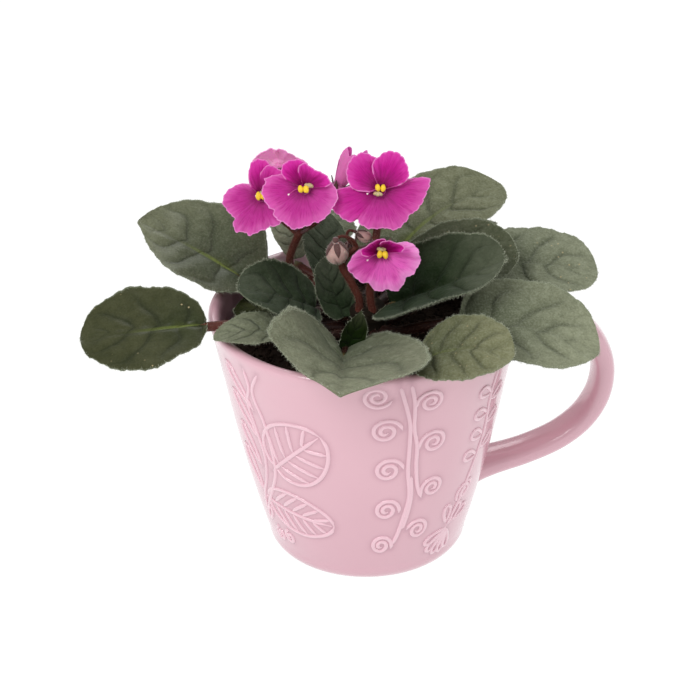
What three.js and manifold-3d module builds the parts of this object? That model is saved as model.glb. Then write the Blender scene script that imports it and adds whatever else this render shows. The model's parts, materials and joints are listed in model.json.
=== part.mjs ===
import * as THREE from "three";
import { mergeVertices } from "three/addons/utils/BufferGeometryUtils.js";
import Module from "manifold-3d";

// African violet growing in a handled mug. Millimetres, +Z up.
// The origin is the middle of the mug's flat foot, and the handle points along +X.

const wasm = await Module();
wasm.setup();

// Mug
const MUG_HEIGHT = 88;
const RIM_RADIUS = 52;
const LIP_PROUD = 1.2;
const FOOT_RADIUS = 32.5;
const FOOT_ROUND = 6;
const WALL_BULGE = 2;
const WALL = 3.9;
const MUG_FLOOR = 6;
const MUG_SIDES = 36;

// Strap handle, its centreline as (distance from the axis, height)
const HANDLE_LINE = [
  [45.5, 74.2], [53, 76.6], [62, 78.2], [71, 76.4], [78, 70], [82, 60],
  [81.4, 49], [76.5, 39.5], [68, 32.3], [56, 27.2], [44, 24.2], [37, 22.6],
];
const HANDLE_WIDTH = 13;
const HANDLE_THICKNESS = 8;
const HANDLE_STEPS = 16;

// Soil and crown
const CLEARANCE = 0.3;
const SOIL_TOP = 76;
const SOIL_DOME = 2;
const CROWN_RADIUS = 7.5;
const CROWN_FOOT = 58;
const CROWN_TOP = 91;

// The plant is turned about the mug's axis, so that its bloom side looks past the handle
const PLANT_TURN = THREE.MathUtils.degToRad(-8);

// Leaf blades
const BLADE_THICKNESS = 1.1;
const BLADE_EDGE = 0.8;
const MIDRIB_DEPTH = 1.1;
const SCALLOP = 0.4;

// Blooms
const PETAL_THICKNESS = 0.7;
const LOBE_START = 1.3;
const LAYER_STEP = 0.85;
const THROAT_RADIUS = 2.4;
const THROAT_DEPTH = 2.2;
const ANTHER_LENGTH = 2.6;
const ANTHER_RADIUS = 1.15;
const SEPAL_LENGTH = 5;

// Leaves: base and tip of the midrib, greatest width, roll (+ lowers the right side), arch
// and sideways bend of the midrib, rise of the right and left halves in degrees, petiole
// radius, direction and height at which it leaves the crown, and rows along the blade.
const LEAVES = [
  { name: "far_left", base: [-53, -16, 90.8], tip: [-93.8, -17, 86.2], width: 32.5, roll: -22, arch: 2,
    bend: -1.5, rise: [6, -2], stalk: 1.7, from: [200, 81], rows: 10 },
  { name: "upper_left", base: [-35, 17, 92], tip: [-76.5, 24.5, 110.5], width: 35, roll: -12, arch: 1,
    bend: 0, rise: [10, 0], stalk: 1.8, from: [166, 83], rows: 10 },
  { name: "inner_left", base: [-14, -0.6, 87.8], tip: [-41, -11.6, 101.2], width: 28, roll: -10, arch: 2,
    bend: -2, rise: [20, -4], stalk: 1.6, from: [184, 87.5], rows: 10 },
  { name: "left_rim", base: [-26, -25, 91.5], tip: [-49, -24, 90], width: 20, roll: 0, arch: 2,
    bend: -0.8, rise: [6, 4], stalk: 1.4, from: [224, 80.5], rows: 8 },
  { name: "front", base: [-6, -20, 87], tip: [-8, -77, 99], width: 52, roll: 2, arch: 0,
    bend: -1.5, rise: [24.5, 10.5], stalk: 1.9, from: [246, 80.5], rows: 12 },
  { name: "front_right", base: [17, -42, 90.6], tip: [46, -49, 96], width: 29, roll: 22, arch: 2,
    bend: -1.5, rise: [7, -4], stalk: 1.6, from: [292, 80.5], rows: 10 },
  { name: "inner_right", base: [9, -3, 88.5], tip: [46, -9, 109], width: 39, roll: 20.5, arch: 1,
    bend: 2, rise: [23, 10], stalk: 1.8, from: [345, 86], rows: 10 },
  { name: "back_right", base: [10, 15, 87], tip: [51, 5, 103], width: 37, roll: 24, arch: 1,
    bend: -3, rise: [12, 4], stalk: 1.7, from: [48, 85.5], rows: 10 },
  { name: "upper_right", base: [17, 35, 92], tip: [49, 57, 106], width: 35, roll: 12, arch: 1,
    bend: -4, rise: [4, 10], stalk: 1.8, from: [80, 82.5], rows: 10 },
  { name: "far_right", base: [40, 20, 93], tip: [79, 15, 91], width: 33, roll: 20, arch: 2,
    bend: -1.5, rise: [6, 0], stalk: 1.7, from: [20, 80.5], rows: 10 },
  { name: "lower_right", base: [30, -21, 93], tip: [75, -32, 86], width: 38, roll: 10, arch: 2,
    bend: -2.5, rise: [0, 12], stalk: 1.8, from: [320, 80.5], rows: 10 },
  { name: "upright", base: [-7.5, -5, 92], tip: [-12, 6, 107], width: 15, roll: 10, arch: 0,
    bend: -1.5, rise: [5, 8], stalk: 1.2, from: [212, 89], rows: 8 },
  { name: "behind_stalk", base: [-11, 12, 91.5], tip: [-13, 35, 108], width: 25, roll: 30, arch: 1,
    bend: 0, rise: [5, 10], stalk: 1.4, from: [124, 86.5], rows: 8 },
  { name: "back_left", base: [-23, 19, 94], tip: [-36, 40, 106], width: 20, roll: 0, arch: 1,
    bend: 0, rise: [8, 8], stalk: 1.4, from: [122, 82], rows: 8 },
  { name: "young_front", base: [-1, -12, 85.5], tip: [-1.8, -14.5, 97], width: 8.5, roll: 0, arch: 0,
    bend: 0, rise: [6, 6], stalk: 1, from: [278, 84.5], rows: 6 },
  { name: "young_left", base: [-26, 6, 82], tip: [-44, 9, 83], width: 20, roll: 0, arch: 1,
    bend: 0, rise: [5, 5], stalk: 1.2, from: [181, 80.8], rows: 8 },
  { name: "young_back", base: [3.5, 11, 90.5], tip: [8, 23, 102.5], width: 13, roll: 0, arch: 1,
    bend: 0, rise: [10, 10], stalk: 1.2, from: [92, 88], rows: 6 },
  { name: "rear", base: [-13, 36, 93], tip: [-22, 76, 87], width: 26, roll: 0, arch: 2,
    bend: 1, rise: [4, 4], stalk: 1.6, from: [104, 80.5], rows: 8 },
  { name: "rear_right", base: [27, 36, 90.5], tip: [41, 72, 86], width: 28, roll: 0, arch: 2,
    bend: -1, rise: [4, 4], stalk: 1.6, from: [52, 80.5], rows: 8 },
  { name: "rear_left", base: [-38, 26, 91], tip: [-66, 50, 86], width: 26, roll: 0, arch: 2,
    bend: 1, rise: [4, 4], stalk: 1.6, from: [144, 80.3], rows: 8 },
];

// Blooms: middle of the throat, the way the bloom faces, where the style ends as (right, up,
// forward) of it, and its five lobes as [turn from upright, length, width, lift towards the
// viewer in degrees, layer from the back]
const BLOOMS = [
  { middle: [-33.2, 3, 127], faces: [-0.28, -0.84, 0.46], style: [-4.6, -1, 4.4],
    lobes: [
      [-8, 12.3, 11, 10, 1], [48, 12.3, 12, 12, 2], [-104, 13.8, 14, 3, 0],
      [112, 14, 14, 3, 0], [-175, 14, 16, 6, 1],
    ] },
  { middle: [-18.8, -5.5, 133.2], faces: [-0.04, -0.88, 0.47], style: [-5.2, -1.6, 4.2],
    lobes: [
      [-20, 10.8, 12, 12, 1], [42, 9.6, 12, 14, 2], [-92, 14.2, 14, 3, 0],
      [104, 12, 14, 4, 0], [-170, 14, 17, 6, 1],
    ] },
  { middle: [5.4, -3, 131.1], faces: [0.03, -0.88, 0.47], style: [-4.3, -1.4, 4.4],
    lobes: [
      [-30, 14, 14, 10, 1], [26, 14, 14, 12, 2], [-108, 17, 16, 2, 0],
      [88, 16.8, 16, 3, 0], [178, 13.8, 19, 6, 1],
    ] },
  { middle: [5.7, -13, 113.5], faces: [0.04, -0.93, 0.37], style: [-4.8, -2, 4.2],
    lobes: [
      [-42, 9, 12, 48, 1], [44, 9.5, 12, 46, 2], [-108, 13, 13, 8, 0],
      [103, 13.5, 13, 8, 0], [174, 13.5, 15, 10, 1],
    ] },
  { middle: [-28.2, 18, 130], faces: [0.05, 0.75, 0.66], style: [-4.2, -1, 4.4],
    lobes: [
      [-22, 11, 11, 8, 1], [23, 11, 11, 10, 2], [-118, 10, 11, 6, 0],
      [118, 10, 11, 6, 0], [180, 11, 12, 10, 1],
    ] },
  { middle: [-5.6, 7.6, 129.2], faces: [0.42, 0.2, 0.88], style: [-0.8, -0.6, 6.5],
    lobes: [
      [-30, 12, 7, 70, 0], [42, 12.5, 7, 66, 0], [-102, 12.5, 7, 72, 0],
      [114, 13.5, 7, 62, 0], [186, 12.5, 7, 70, 0],
    ] },
];

// Flower stalks: a stem from the crown to a fork, and one pedicel to each bloom or bud
const STALK_RADIUS = 1.35;
const PEDICEL_RADIUS = 0.9;
const STALKS = [
  { stem: [[-5, 2.4, 88], [-12, 7, 89.8], [-19, 11, 92.5], [-24.5, 11, 98], [-21.2, 4, 113.5]],
    blooms: [[0, [-29, 7, 119]], [1, [-18, 5, 122]], [4, [-25, 12, 120]], [5, [-11.5, 5, 120]]] },
  { stem: [[-2.2, -4.4, 87], [-1.7, -4.6, 92.5], [-4.5, -5, 99.5], [-7.2, -4.6, 106], [-2.3, -3.6, 111.5]],
    buds: [0, 1, 2] },
  { stem: [[2.8, -4.4, 87], [2, -5, 92], [1.8, -5, 96.3], [2.9, -5.5, 106.9], [4.6, -1.6, 119],
    [5.2, -0.3, 124]],
    blooms: [[2, [5.3, 0.4, 126]], [3, [4, -7.5, 109]]] },
];

// Buds: middle, radius, length, the way the tip points, and the arched line of the pedicel
const BUDS = [
  { middle: [-8.8, -7, 111.2], radius: 3.7, length: 8, points: [0.08, 0.05, -1],
    line: [[-2.3, -3.8, 111.5], [-4.3, -5, 115], [-7.6, -6.2, 116.4], [-9, -7, 115.6]] },
  { middle: [0, -2, 114.4], radius: 2.1, length: 5.6, points: [0.9, -0.1, -0.5],
    line: [[-2.3, -3.6, 111.5], [-5, -2, 113.3], [-5.4, -1.8, 115.4], [-4.6, -1.8, 116.4]] },
  { middle: [-5.4, -1.4, 110.6], radius: 1.3, length: 3.2, points: [-0.3, 0.1, -0.9],
    line: [[-2.3, -3.6, 111.5], [-3.2, -2.4, 113], [-4.3, -1.6, 113.4]] },
];

const vec = (p) => new THREE.Vector3(...p);
const smooth = (a, b, x) => THREE.MathUtils.smoothstep(x, a, b);

const glaze = new THREE.MeshStandardMaterial({ color: 0xe3b9c4, roughness: 0.22 });
const soilBrown = new THREE.MeshStandardMaterial({ color: 0x1d1612, roughness: 0.95 });
const leafGreen = new THREE.MeshStandardMaterial({ color: 0x4e5a44, roughness: 0.7 });
const crownGreen = new THREE.MeshStandardMaterial({ color: 0x5d5138, roughness: 0.8 });
const petalPink = new THREE.MeshStandardMaterial({ color: 0xc63a9c, roughness: 0.6 });
const antherYellow = new THREE.MeshStandardMaterial({ color: 0xe8c21c, roughness: 0.5 });
const stalkMaroon = new THREE.MeshStandardMaterial({ color: 0x5a2e2c, roughness: 0.7 });
const budPink = new THREE.MeshStandardMaterial({ color: 0xb18a86, roughness: 0.7 });

// A closed geometry as a solid that can be joined and cut
function solidOf(geometry) {
  const bare = geometry.clone();
  bare.deleteAttribute("normal");
  bare.deleteAttribute("uv");
  const merged = mergeVertices(bare, 1e-3);
  return new wasm.Manifold(
    new wasm.Mesh({
      numProp: 3,
      vertProperties: merged.attributes.position.array,
      triVerts: new Uint32Array(merged.index.array),
    }),
  );
}

// A closed solid from its corner points and triangles
function solidFrom(points, faces) {
  const places = points.flatMap((p) => p.toArray());
  const geometry = new THREE.BufferGeometry();
  geometry.setAttribute("position", new THREE.Float32BufferAttribute(places, 3));
  geometry.setIndex(faces.flat());
  return solidOf(geometry);
}

function union(solids) {
  return solids.reduce((whole, piece) => whole.add(piece));
}

function meshOf(name, solid, material) {
  const cut = solid.getMesh();
  const geometry = new THREE.BufferGeometry();
  geometry.setAttribute("position", new THREE.BufferAttribute(cut.vertProperties, 3));
  geometry.setIndex(new THREE.BufferAttribute(cut.triVerts, 1));
  const mesh = new THREE.Mesh(geometry, material);
  mesh.name = name;
  return mesh;
}

// A round solid about the Z axis from an outline of (radius, height) points, bottom first
function turned(outline, sides) {
  const profile = outline.map(([r, z]) => new THREE.Vector2(r, z));
  return solidOf(new THREE.LatheGeometry(profile, sides).rotateX(Math.PI / 2));
}

// A bar of a given outline swept along a smooth line through the points
function swept(points, outline, steps) {
  const path = new THREE.CatmullRomCurve3(points.map(vec), false, "centripetal");
  const settings = { steps, extrudePath: path, bevelEnabled: false };
  return solidOf(new THREE.ExtrudeGeometry(new THREE.Shape(outline), settings));
}

function ring(radius, sides) {
  return Array.from({ length: sides }, (_, i) => {
    const a = (2 * Math.PI * i) / sides;
    return new THREE.Vector2(radius * Math.cos(a), radius * Math.sin(a));
  });
}

function ball(middle, radii, sides, rows) {
  const shape = new THREE.SphereGeometry(1, sides, rows).scale(...radii);
  return solidOf(shape.translate(...middle));
}

// Outside radius of the mug's wall at a height
function wallRadius(z) {
  const s = z / MUG_HEIGHT;
  return FOOT_RADIUS + (RIM_RADIUS - LIP_PROUD - FOOT_RADIUS) * s + WALL_BULGE * 4 * s * (1 - s);
}

const innerRadius = (z) => wallRadius(z) - WALL;

function mug() {
  const flat = wallRadius(FOOT_ROUND) - FOOT_ROUND;
  const corner = [20, 50, 80].map((deg) => {
    const a = THREE.MathUtils.degToRad(deg);
    return [flat + FOOT_ROUND * Math.sin(a), FOOT_ROUND * (1 - Math.cos(a))];
  });
  const side = [20, 40, 60, 79].map((z) => [wallRadius(z), z]);
  const lip = [
    [RIM_RADIUS - 0.3, MUG_HEIGHT - 3.6],
    [RIM_RADIUS, MUG_HEIGHT - 1.8],
    [RIM_RADIUS - 0.9, MUG_HEIGHT - 0.4],
    [RIM_RADIUS - 2, MUG_HEIGHT],
  ];
  const body = turned([[0, 0], [flat, 0], ...corner, ...side, ...lip, [0, MUG_HEIGHT]], MUG_SIDES);
  const inside = [25, 45, 65].map((z) => [innerRadius(z), z]);
  const mouth = [
    [innerRadius(MUG_HEIGHT - 2), MUG_HEIGHT - 2],
    [innerRadius(MUG_HEIGHT) + 1.2, MUG_HEIGHT + 0.1],
    [innerRadius(MUG_HEIGHT) + 1.2, MUG_HEIGHT + 2],
  ];
  const basin = [[0, MUG_FLOOR], [innerRadius(MUG_FLOOR) - 5, MUG_FLOOR], [innerRadius(9), 9.5]];
  const hollow = turned([...basin, ...inside, ...mouth, [0, MUG_HEIGHT + 2]], MUG_SIDES);
  const line = HANDLE_LINE.map(([r, z]) => [r, 0, z]);
  const strap = Array.from({ length: 10 }, (_, i) => {
    const a = (2 * Math.PI * (i + 0.5)) / 10;
    const pull = (c) => Math.sign(c) * Math.abs(c) ** 0.75;
    const across = (HANDLE_WIDTH / 2) * pull(Math.cos(a));
    return new THREE.Vector2(across, (HANDLE_THICKNESS / 2) * pull(Math.sin(a)));
  });
  return body.add(swept(line, strap, HANDLE_STEPS)).subtract(hollow);
}

// Soil fills the mug round the hole that the crown stands in
function soil() {
  const hole = CROWN_RADIUS + CLEARANCE;
  const fill = [12, 30, 52, SOIL_TOP - 2].map((z) => [innerRadius(z) - CLEARANCE - 0.3, z]);
  const bottom = MUG_FLOOR + CLEARANCE;
  const top = [0.9, 0.65, 0.4].map((s) => [
    s * innerRadius(SOIL_TOP),
    SOIL_TOP + SOIL_DOME * Math.cos((s * Math.PI) / 2) + 0.5 * Math.sin(23 * s),
  ]);
  const peak = SOIL_TOP + SOIL_DOME;
  const base = [[0, bottom], [innerRadius(MUG_FLOOR) - 6, bottom]];
  const body = turned([...base, ...fill, ...top, [hole, peak], [0, peak]], 24);
  const pitFloor = CROWN_FOOT - CLEARANCE;
  const pit = [[0, pitFloor], [hole, pitFloor], [hole, MUG_HEIGHT], [0, MUG_HEIGHT]];
  return body.subtract(turned(pit, 16));
}

// The crown, grown by a margin where a stalk is cut clear of it
function crown(margin = 0) {
  const r = CROWN_RADIUS + margin;
  return turned(
    [
      [0, CROWN_FOOT - margin],
      [r * 0.8, CROWN_FOOT - margin],
      [r, CROWN_FOOT + 8],
      [r, CROWN_TOP - 7],
      [r * 0.8, CROWN_TOP - 2 + margin],
      [r * 0.35, CROWN_TOP + margin],
      [0, CROWN_TOP + margin],
    ],
    16,
  );
}

const crownRoom = crown(CLEARANCE);

// Frame of a leaf: u runs along the midrib, s to its right, n is the upper side
function leafFrame(leaf) {
  const base = vec(leaf.base);
  const run = vec(leaf.tip).sub(base);
  const length = run.length();
  const u = run.normalize();
  const level = new THREE.Vector3().crossVectors(u, new THREE.Vector3(0, 0, 1)).normalize();
  const s = level.clone().applyAxisAngle(u, THREE.MathUtils.degToRad(leaf.roll));
  const n = new THREE.Vector3().crossVectors(s, u);
  return { base, u, s, n, length };
}

// A point of the blade's middle surface: t from base to tip, v from left (-1) to right (1)
function bladePoint(leaf, frame, t, v, scallop) {
  const { base, u, s, n, length } = frame;
  const side = Math.abs(v);
  const half = (leaf.width / 2 + scallop) * Math.sin(Math.PI * t ** 0.86) ** 0.62;
  const notch = 0.1 * (t / 0.07) * Math.exp(-t / 0.07);
  const edge = t - 0.07 * Math.sin(2 * Math.PI * t) - notch;
  const along = length * (t + (edge - t) * side ** 1.3);
  const across = half * v + leaf.bend * 4 * t * (1 - t);
  const slope = Math.tan(THREE.MathUtils.degToRad(v > 0 ? leaf.rise[0] : leaf.rise[1]));
  const cup = slope * half * side * (0.35 + 0.65 * side) * Math.min(1, 1.25 * (1 - t) + 0.45);
  const up = leaf.arch * 4 * t * (1 - t) + cup;
  return base.clone().addScaledVector(u, along).addScaledVector(s, across).addScaledVector(n, up);
}

// A closed sheet over a grid of rows and columns whose first and last rows are single points.
// Both faces are split into triangles alike.
function sheet(rows, columns, pointAt, normalAt, thicknessAt) {
  const points = [];
  const id = new Map();
  const corner = (i, j, face) => {
    const pole = i === 0 || i === rows;
    const key = `${i},${pole ? 0 : j},${face}`;
    if (!id.has(key)) {
      const column = pole ? columns / 2 : j;
      const off = thicknessAt(i, column, face);
      id.set(key, points.length);
      points.push(pointAt(i, column).addScaledVector(normalAt(i, column), face * off));
    }
    return id.get(key);
  };
  const faces = [];
  const add = (a, b, c) => {
    if (a !== b && b !== c && c !== a) faces.push([a, b, c]);
  };
  for (let i = 0; i < rows; i += 1) {
    for (let j = 0; j < columns; j += 1) {
      const [a, b, c, d] = [[i, j], [i, j + 1], [i + 1, j + 1], [i + 1, j]];
      const left = j < columns / 2;
      for (const face of [1, -1]) {
        const [p, q, r, k] = [a, b, c, d].map(([x, y]) => corner(x, y, face));
        const halves = left ? [[p, q, k], [q, r, k]] : [[p, q, r], [p, r, k]];
        halves.forEach(([x, y, z]) => (face > 0 ? add(x, y, z) : add(x, z, y)));
      }
    }
    for (const [j, turn] of [[0, 1], [columns, -1]]) {
      const [p, q, r, k] = [corner(i, j, 1), corner(i + 1, j, 1), corner(i + 1, j, -1), corner(i, j, -1)];
      [[p, q, r], [p, r, k]].forEach(([x, y, z]) => (turn > 0 ? add(x, y, z) : add(x, z, y)));
    }
  }
  return solidFrom(points, faces);
}

function blade(leaf) {
  const frame = leafFrame(leaf);
  const rows = leaf.rows;
  const columns = 6;
  const ease = (i) => 0.55 * 0.5 * (1 - Math.cos((Math.PI * i) / rows)) + (0.45 * i) / rows;
  const pointAt = (i, j) => {
    const v = (2 * j) / columns - 1;
    const edge = Math.abs(v) === 1 ? SCALLOP * (i % 2 ? 1 : -1) : 0;
    return bladePoint(leaf, frame, ease(i), v, edge);
  };
  const thicknessAt = (i, j, face) => {
    const v = Math.abs((2 * j) / columns - 1);
    const rib = face < 0 && v === 0 ? MIDRIB_DEPTH * (1 - i / rows) : 0;
    return (BLADE_THICKNESS + (BLADE_EDGE - BLADE_THICKNESS) * v) / 2 + rib;
  };
  return sheet(rows, columns, pointAt, () => frame.n, thicknessAt);
}

// A petiole leaves the crown outwards and upwards and runs into the blade's base
function petiole(leaf) {
  const { base, u, n } = leafFrame(leaf);
  const [turn, height] = leaf.from;
  const a = THREE.MathUtils.degToRad(turn);
  const out = new THREE.Vector3(Math.cos(a), Math.sin(a), 0);
  const root = out.clone().multiplyScalar(CROWN_RADIUS - 1.5).setZ(height);
  const end = base.clone().addScaledVector(u, 2.5).addScaledVector(n, -0.6);
  const reach = root.distanceTo(end);
  const leave = out.clone().add(new THREE.Vector3(0, 0, 0.15)).normalize();
  const path = new THREE.CubicBezierCurve3(
    root,
    root.clone().addScaledVector(leave, 0.4 * reach),
    end.clone().addScaledVector(u, -0.35 * reach),
    end,
  );
  const steps = Math.max(2, Math.min(6, Math.round(reach / 7)));
  const section = new THREE.Shape(ring(leaf.stalk, 6));
  return solidOf(new THREE.ExtrudeGeometry(section, { steps, extrudePath: path, bevelEnabled: false }));
}

function leaf(shape) {
  return blade(shape).add(petiole(shape)).subtract(crownRoom);
}

// Frame of a bloom: n faces the viewer, up and right lie in the plane of the lobes
function bloomFrame(bloom) {
  const middle = vec(bloom.middle);
  const n = vec(bloom.faces).normalize();
  const z = new THREE.Vector3(0, 0, 1);
  const up = z.addScaledVector(n, -z.dot(n)).normalize();
  const right = new THREE.Vector3().crossVectors(up, n);
  return { middle, n, up, right };
}

function lobe(frame, [turn, length, width, lift, layer]) {
  const { middle, n, up, right } = frame;
  const a = THREE.MathUtils.degToRad(turn);
  const b = THREE.MathUtils.degToRad(lift);
  const level = up.clone().multiplyScalar(Math.cos(a)).addScaledVector(right, Math.sin(a));
  const s = new THREE.Vector3().crossVectors(level, n);
  const out = level.clone().multiplyScalar(Math.cos(b)).addScaledVector(n, Math.sin(b));
  const face = new THREE.Vector3().crossVectors(s, out);
  const start = middle.clone().addScaledVector(level, LOBE_START).addScaledVector(n, LAYER_STEP * layer);
  const rows = 5;
  const columns = 4;
  const pointAt = (i, j) => {
    const t = i / rows;
    const v = (2 * j) / columns - 1;
    const rounding = Math.sqrt(Math.max(0, 1 - smooth(0.55, 1, t) ** 2));
    const half = (width / 2) * (0.25 + 0.75 * smooth(0, 0.6, t)) * rounding;
    const along = (length - LOBE_START) * (t - 0.12 * v * v * t);
    const ruffle = 0.35 * t * Math.abs(v) * (i % 2 ? 1 : -1);
    const curl = ruffle - 0.08 * length * t * t;
    const place = start.clone().addScaledVector(out, along);
    return place.addScaledVector(s, half * v).addScaledVector(face, curl);
  };
  return sheet(rows, columns, pointAt, () => face, () => PETAL_THICKNESS / 2);
}

function corolla(bloom) {
  const frame = bloomFrame(bloom);
  const lobes = bloom.lobes.map((shape) => lobe(frame, shape));
  return union([...lobes, alongNormal(frame, throatOutline(), 8)]);
}

// A turned piece whose axis runs along the way the bloom faces
function alongNormal({ middle, n }, outline, sides) {
  const turn = new THREE.Quaternion().setFromUnitVectors(new THREE.Vector3(0, 0, 1), n);
  const profile = outline.map(([r, z]) => new THREE.Vector2(r, z));
  const shape = new THREE.LatheGeometry(profile, sides).rotateX(Math.PI / 2);
  return solidOf(shape.applyQuaternion(turn).translate(...middle.toArray()));
}

function throatOutline() {
  const front = 2 * LAYER_STEP;
  return [
    [0, -THROAT_DEPTH],
    [THROAT_RADIUS * 0.7, -THROAT_DEPTH],
    [THROAT_RADIUS, front],
    [0, front + 0.4],
  ];
}

// Two yellow anthers side by side on their filament, with the thin style beside them
function stamens(bloom) {
  const { middle, n, up, right } = bloomFrame(bloom);
  const lift = 2 * LAYER_STEP + 0.4 + CLEARANCE;
  const at = (x, y, z) => {
    const place = middle.clone().addScaledVector(right, x);
    return place.addScaledVector(up, y).addScaledVector(n, z);
  };
  const turn = new THREE.Quaternion().setFromRotationMatrix(new THREE.Matrix4().makeBasis(right, up, n));
  const anther = (x) => {
    const shape = new THREE.SphereGeometry(1, 5, 4);
    shape.scale(ANTHER_RADIUS, ANTHER_LENGTH / 2, ANTHER_RADIUS);
    return solidOf(shape.applyQuaternion(turn).translate(...at(x, -0.4, lift + ANTHER_RADIUS).toArray()));
  };
  const ovary = ball(at(0, 0.9, lift + 0.9).toArray(), [1.3, 1.3, 1.3], 5, 4);
  const bow = [at(0, 0.8, lift + 0.8), at(bloom.style[0] * 0.5, 0.5, lift + 1.6), at(...bloom.style)];
  const style = swept(bow.map((p) => p.toArray()), ring(0.4, 4), 2);
  return union([anther(-0.95), anther(0.95), ovary, style]);
}

// Five narrow sepals spread behind a bloom or over a bud
function calyx({ middle, n, up, right }, seat, spread) {
  const sepals = [0, 1, 2, 3, 4].map((i) => {
    const a = (2 * Math.PI * (i + 0.5)) / 5;
    const level = up.clone().multiplyScalar(Math.cos(a)).addScaledVector(right, Math.sin(a));
    const s = new THREE.Vector3().crossVectors(level, n);
    const out = level.multiplyScalar(Math.cos(spread)).addScaledVector(n, Math.sin(spread));
    const face = new THREE.Vector3().crossVectors(s, out);
    const pointAt = (r, j) => {
      const t = r / 2;
      const half = 0.9 * Math.sin(Math.PI * (0.25 + 0.75 * t));
      return middle
        .clone()
        .addScaledVector(n, seat)
        .addScaledVector(out, 1.2 + SEPAL_LENGTH * t)
        .addScaledVector(s, half * (j - 1));
    };
    return sheet(2, 2, pointAt, () => face, () => 0.35);
  });
  const cup = alongNormal(
    { middle: middle.clone().addScaledVector(n, seat), n },
    [[0, -1.4], [PEDICEL_RADIUS, -1.4], [1.5, 0.3], [0, 0.35]],
    6,
  );
  return union([cup, ...sepals]);
}

function budFrame(bud) {
  const n = vec(bud.points).normalize();
  const up = new THREE.Vector3(0, -1, 0).addScaledVector(n, n.y).normalize();
  return { middle: vec(bud.middle), n, up, right: new THREE.Vector3().crossVectors(up, n) };
}

function stalk(shape) {
  const parts = [swept(shape.stem, ring(STALK_RADIUS, 6), 8)];
  const fork = shape.stem.at(-1);
  for (const [index, waypoint] of shape.blooms ?? []) {
    const frame = bloomFrame(BLOOMS[index]);
    const seat = -THROAT_DEPTH - CLEARANCE - 0.35;
    const behind = (d) => frame.middle.clone().addScaledVector(frame.n, seat - d).toArray();
    const start = fork.map((value, i) => value + 0.1 * (shape.stem.at(-2)[i] - value));
    parts.push(swept([start, waypoint, behind(3.5), behind(0.6)], ring(PEDICEL_RADIUS, 5), 5));
    parts.push(calyx(frame, seat, THREE.MathUtils.degToRad(-8)));
  }
  for (const index of shape.buds ?? []) {
    const frame = budFrame(BUDS[index]);
    const seat = -BUDS[index].length / 2 - CLEARANCE - 0.4;
    const end = frame.middle.clone().addScaledVector(frame.n, seat - 0.6).toArray();
    parts.push(swept([...BUDS[index].line, end], ring(PEDICEL_RADIUS, 5), 7));
    const cup = [[0, -1.2], [PEDICEL_RADIUS, -1.2], [BUDS[index].radius * 0.5, 0.3], [0, 0.3]];
    const top = frame.middle.clone().addScaledVector(frame.n, seat);
    parts.push(alongNormal({ middle: top, n: frame.n }, cup, 6));
  }
  return union(parts).subtract(crownRoom);
}

// A closed bud is fattest past its middle and drawn together at its tip
function budBody(bud) {
  const { radius: r, length: l } = bud;
  const shoulder = [[0, -l / 2], [0.55 * r, -0.46 * l], [0.93 * r, -0.2 * l]];
  const tip = [[r, 0.1 * l], [0.7 * r, 0.36 * l], [0, l / 2]];
  return alongNormal(budFrame(bud), [...shoulder, ...tip], 9);
}

const root = new THREE.Group();
root.add(meshOf("mug", mug(), glaze));
root.add(meshOf("potting_soil", soil(), soilBrown));

const plant = new THREE.Group();
plant.rotation.z = PLANT_TURN;
plant.add(meshOf("crown", crown(), crownGreen));
LEAVES.forEach((shape) => plant.add(meshOf(`leaf_${shape.name}`, leaf(shape), leafGreen)));
STALKS.forEach((shape, i) => plant.add(meshOf(`flower_stalk_${i + 1}`, stalk(shape), stalkMaroon)));
BLOOMS.forEach((bloom, i) => {
  plant.add(meshOf(`bloom_${i + 1}_petals`, corolla(bloom), petalPink));
  plant.add(meshOf(`bloom_${i + 1}_stamens`, stamens(bloom), antherYellow));
});
BUDS.forEach((bud, i) => plant.add(meshOf(`bud_${i + 1}`, budBody(bud), budPink)));
root.add(plant);

export default root;
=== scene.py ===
import json
import math
from collections import namedtuple

import bpy
import numpy as np
from mathutils import Matrix, Vector
from mathutils.kdtree import KDTree

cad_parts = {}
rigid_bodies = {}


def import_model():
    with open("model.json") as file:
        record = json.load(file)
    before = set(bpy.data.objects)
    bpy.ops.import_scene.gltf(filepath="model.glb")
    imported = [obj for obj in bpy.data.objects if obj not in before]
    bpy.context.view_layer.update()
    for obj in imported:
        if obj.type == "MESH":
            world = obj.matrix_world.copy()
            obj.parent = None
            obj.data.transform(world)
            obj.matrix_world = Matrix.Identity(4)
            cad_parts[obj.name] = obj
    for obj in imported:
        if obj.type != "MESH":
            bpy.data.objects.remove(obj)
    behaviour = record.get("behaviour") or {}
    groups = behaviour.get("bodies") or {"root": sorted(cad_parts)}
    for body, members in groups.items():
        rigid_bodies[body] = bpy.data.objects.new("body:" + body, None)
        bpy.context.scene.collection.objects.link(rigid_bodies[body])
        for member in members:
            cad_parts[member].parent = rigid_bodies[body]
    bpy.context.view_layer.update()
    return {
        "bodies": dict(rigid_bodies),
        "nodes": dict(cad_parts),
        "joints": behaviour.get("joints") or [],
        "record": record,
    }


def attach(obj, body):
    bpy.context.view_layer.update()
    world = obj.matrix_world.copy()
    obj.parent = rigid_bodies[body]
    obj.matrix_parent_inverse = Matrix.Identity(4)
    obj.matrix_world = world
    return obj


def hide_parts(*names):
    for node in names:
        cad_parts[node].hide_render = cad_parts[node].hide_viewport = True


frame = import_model()

# African violet growing in a handled mug. Shapes are worked out in millimetres, in the frame
# of the part: +Z up, origin in the middle of the mug's foot, handle along +X.

MM = 0.001
PLANT_TURN = math.radians(-8)

# Camera, in the frame of the plant
VIEW_ELEVATION = math.radians(28.3)
VIEW_ROLL = math.radians(-0.9)
VIEW_DISTANCE = 720
VIEW_TARGET = (-5.07, 0, 71.33)
LENS = 110.3
SENSOR_WIDTH = 36

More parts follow.
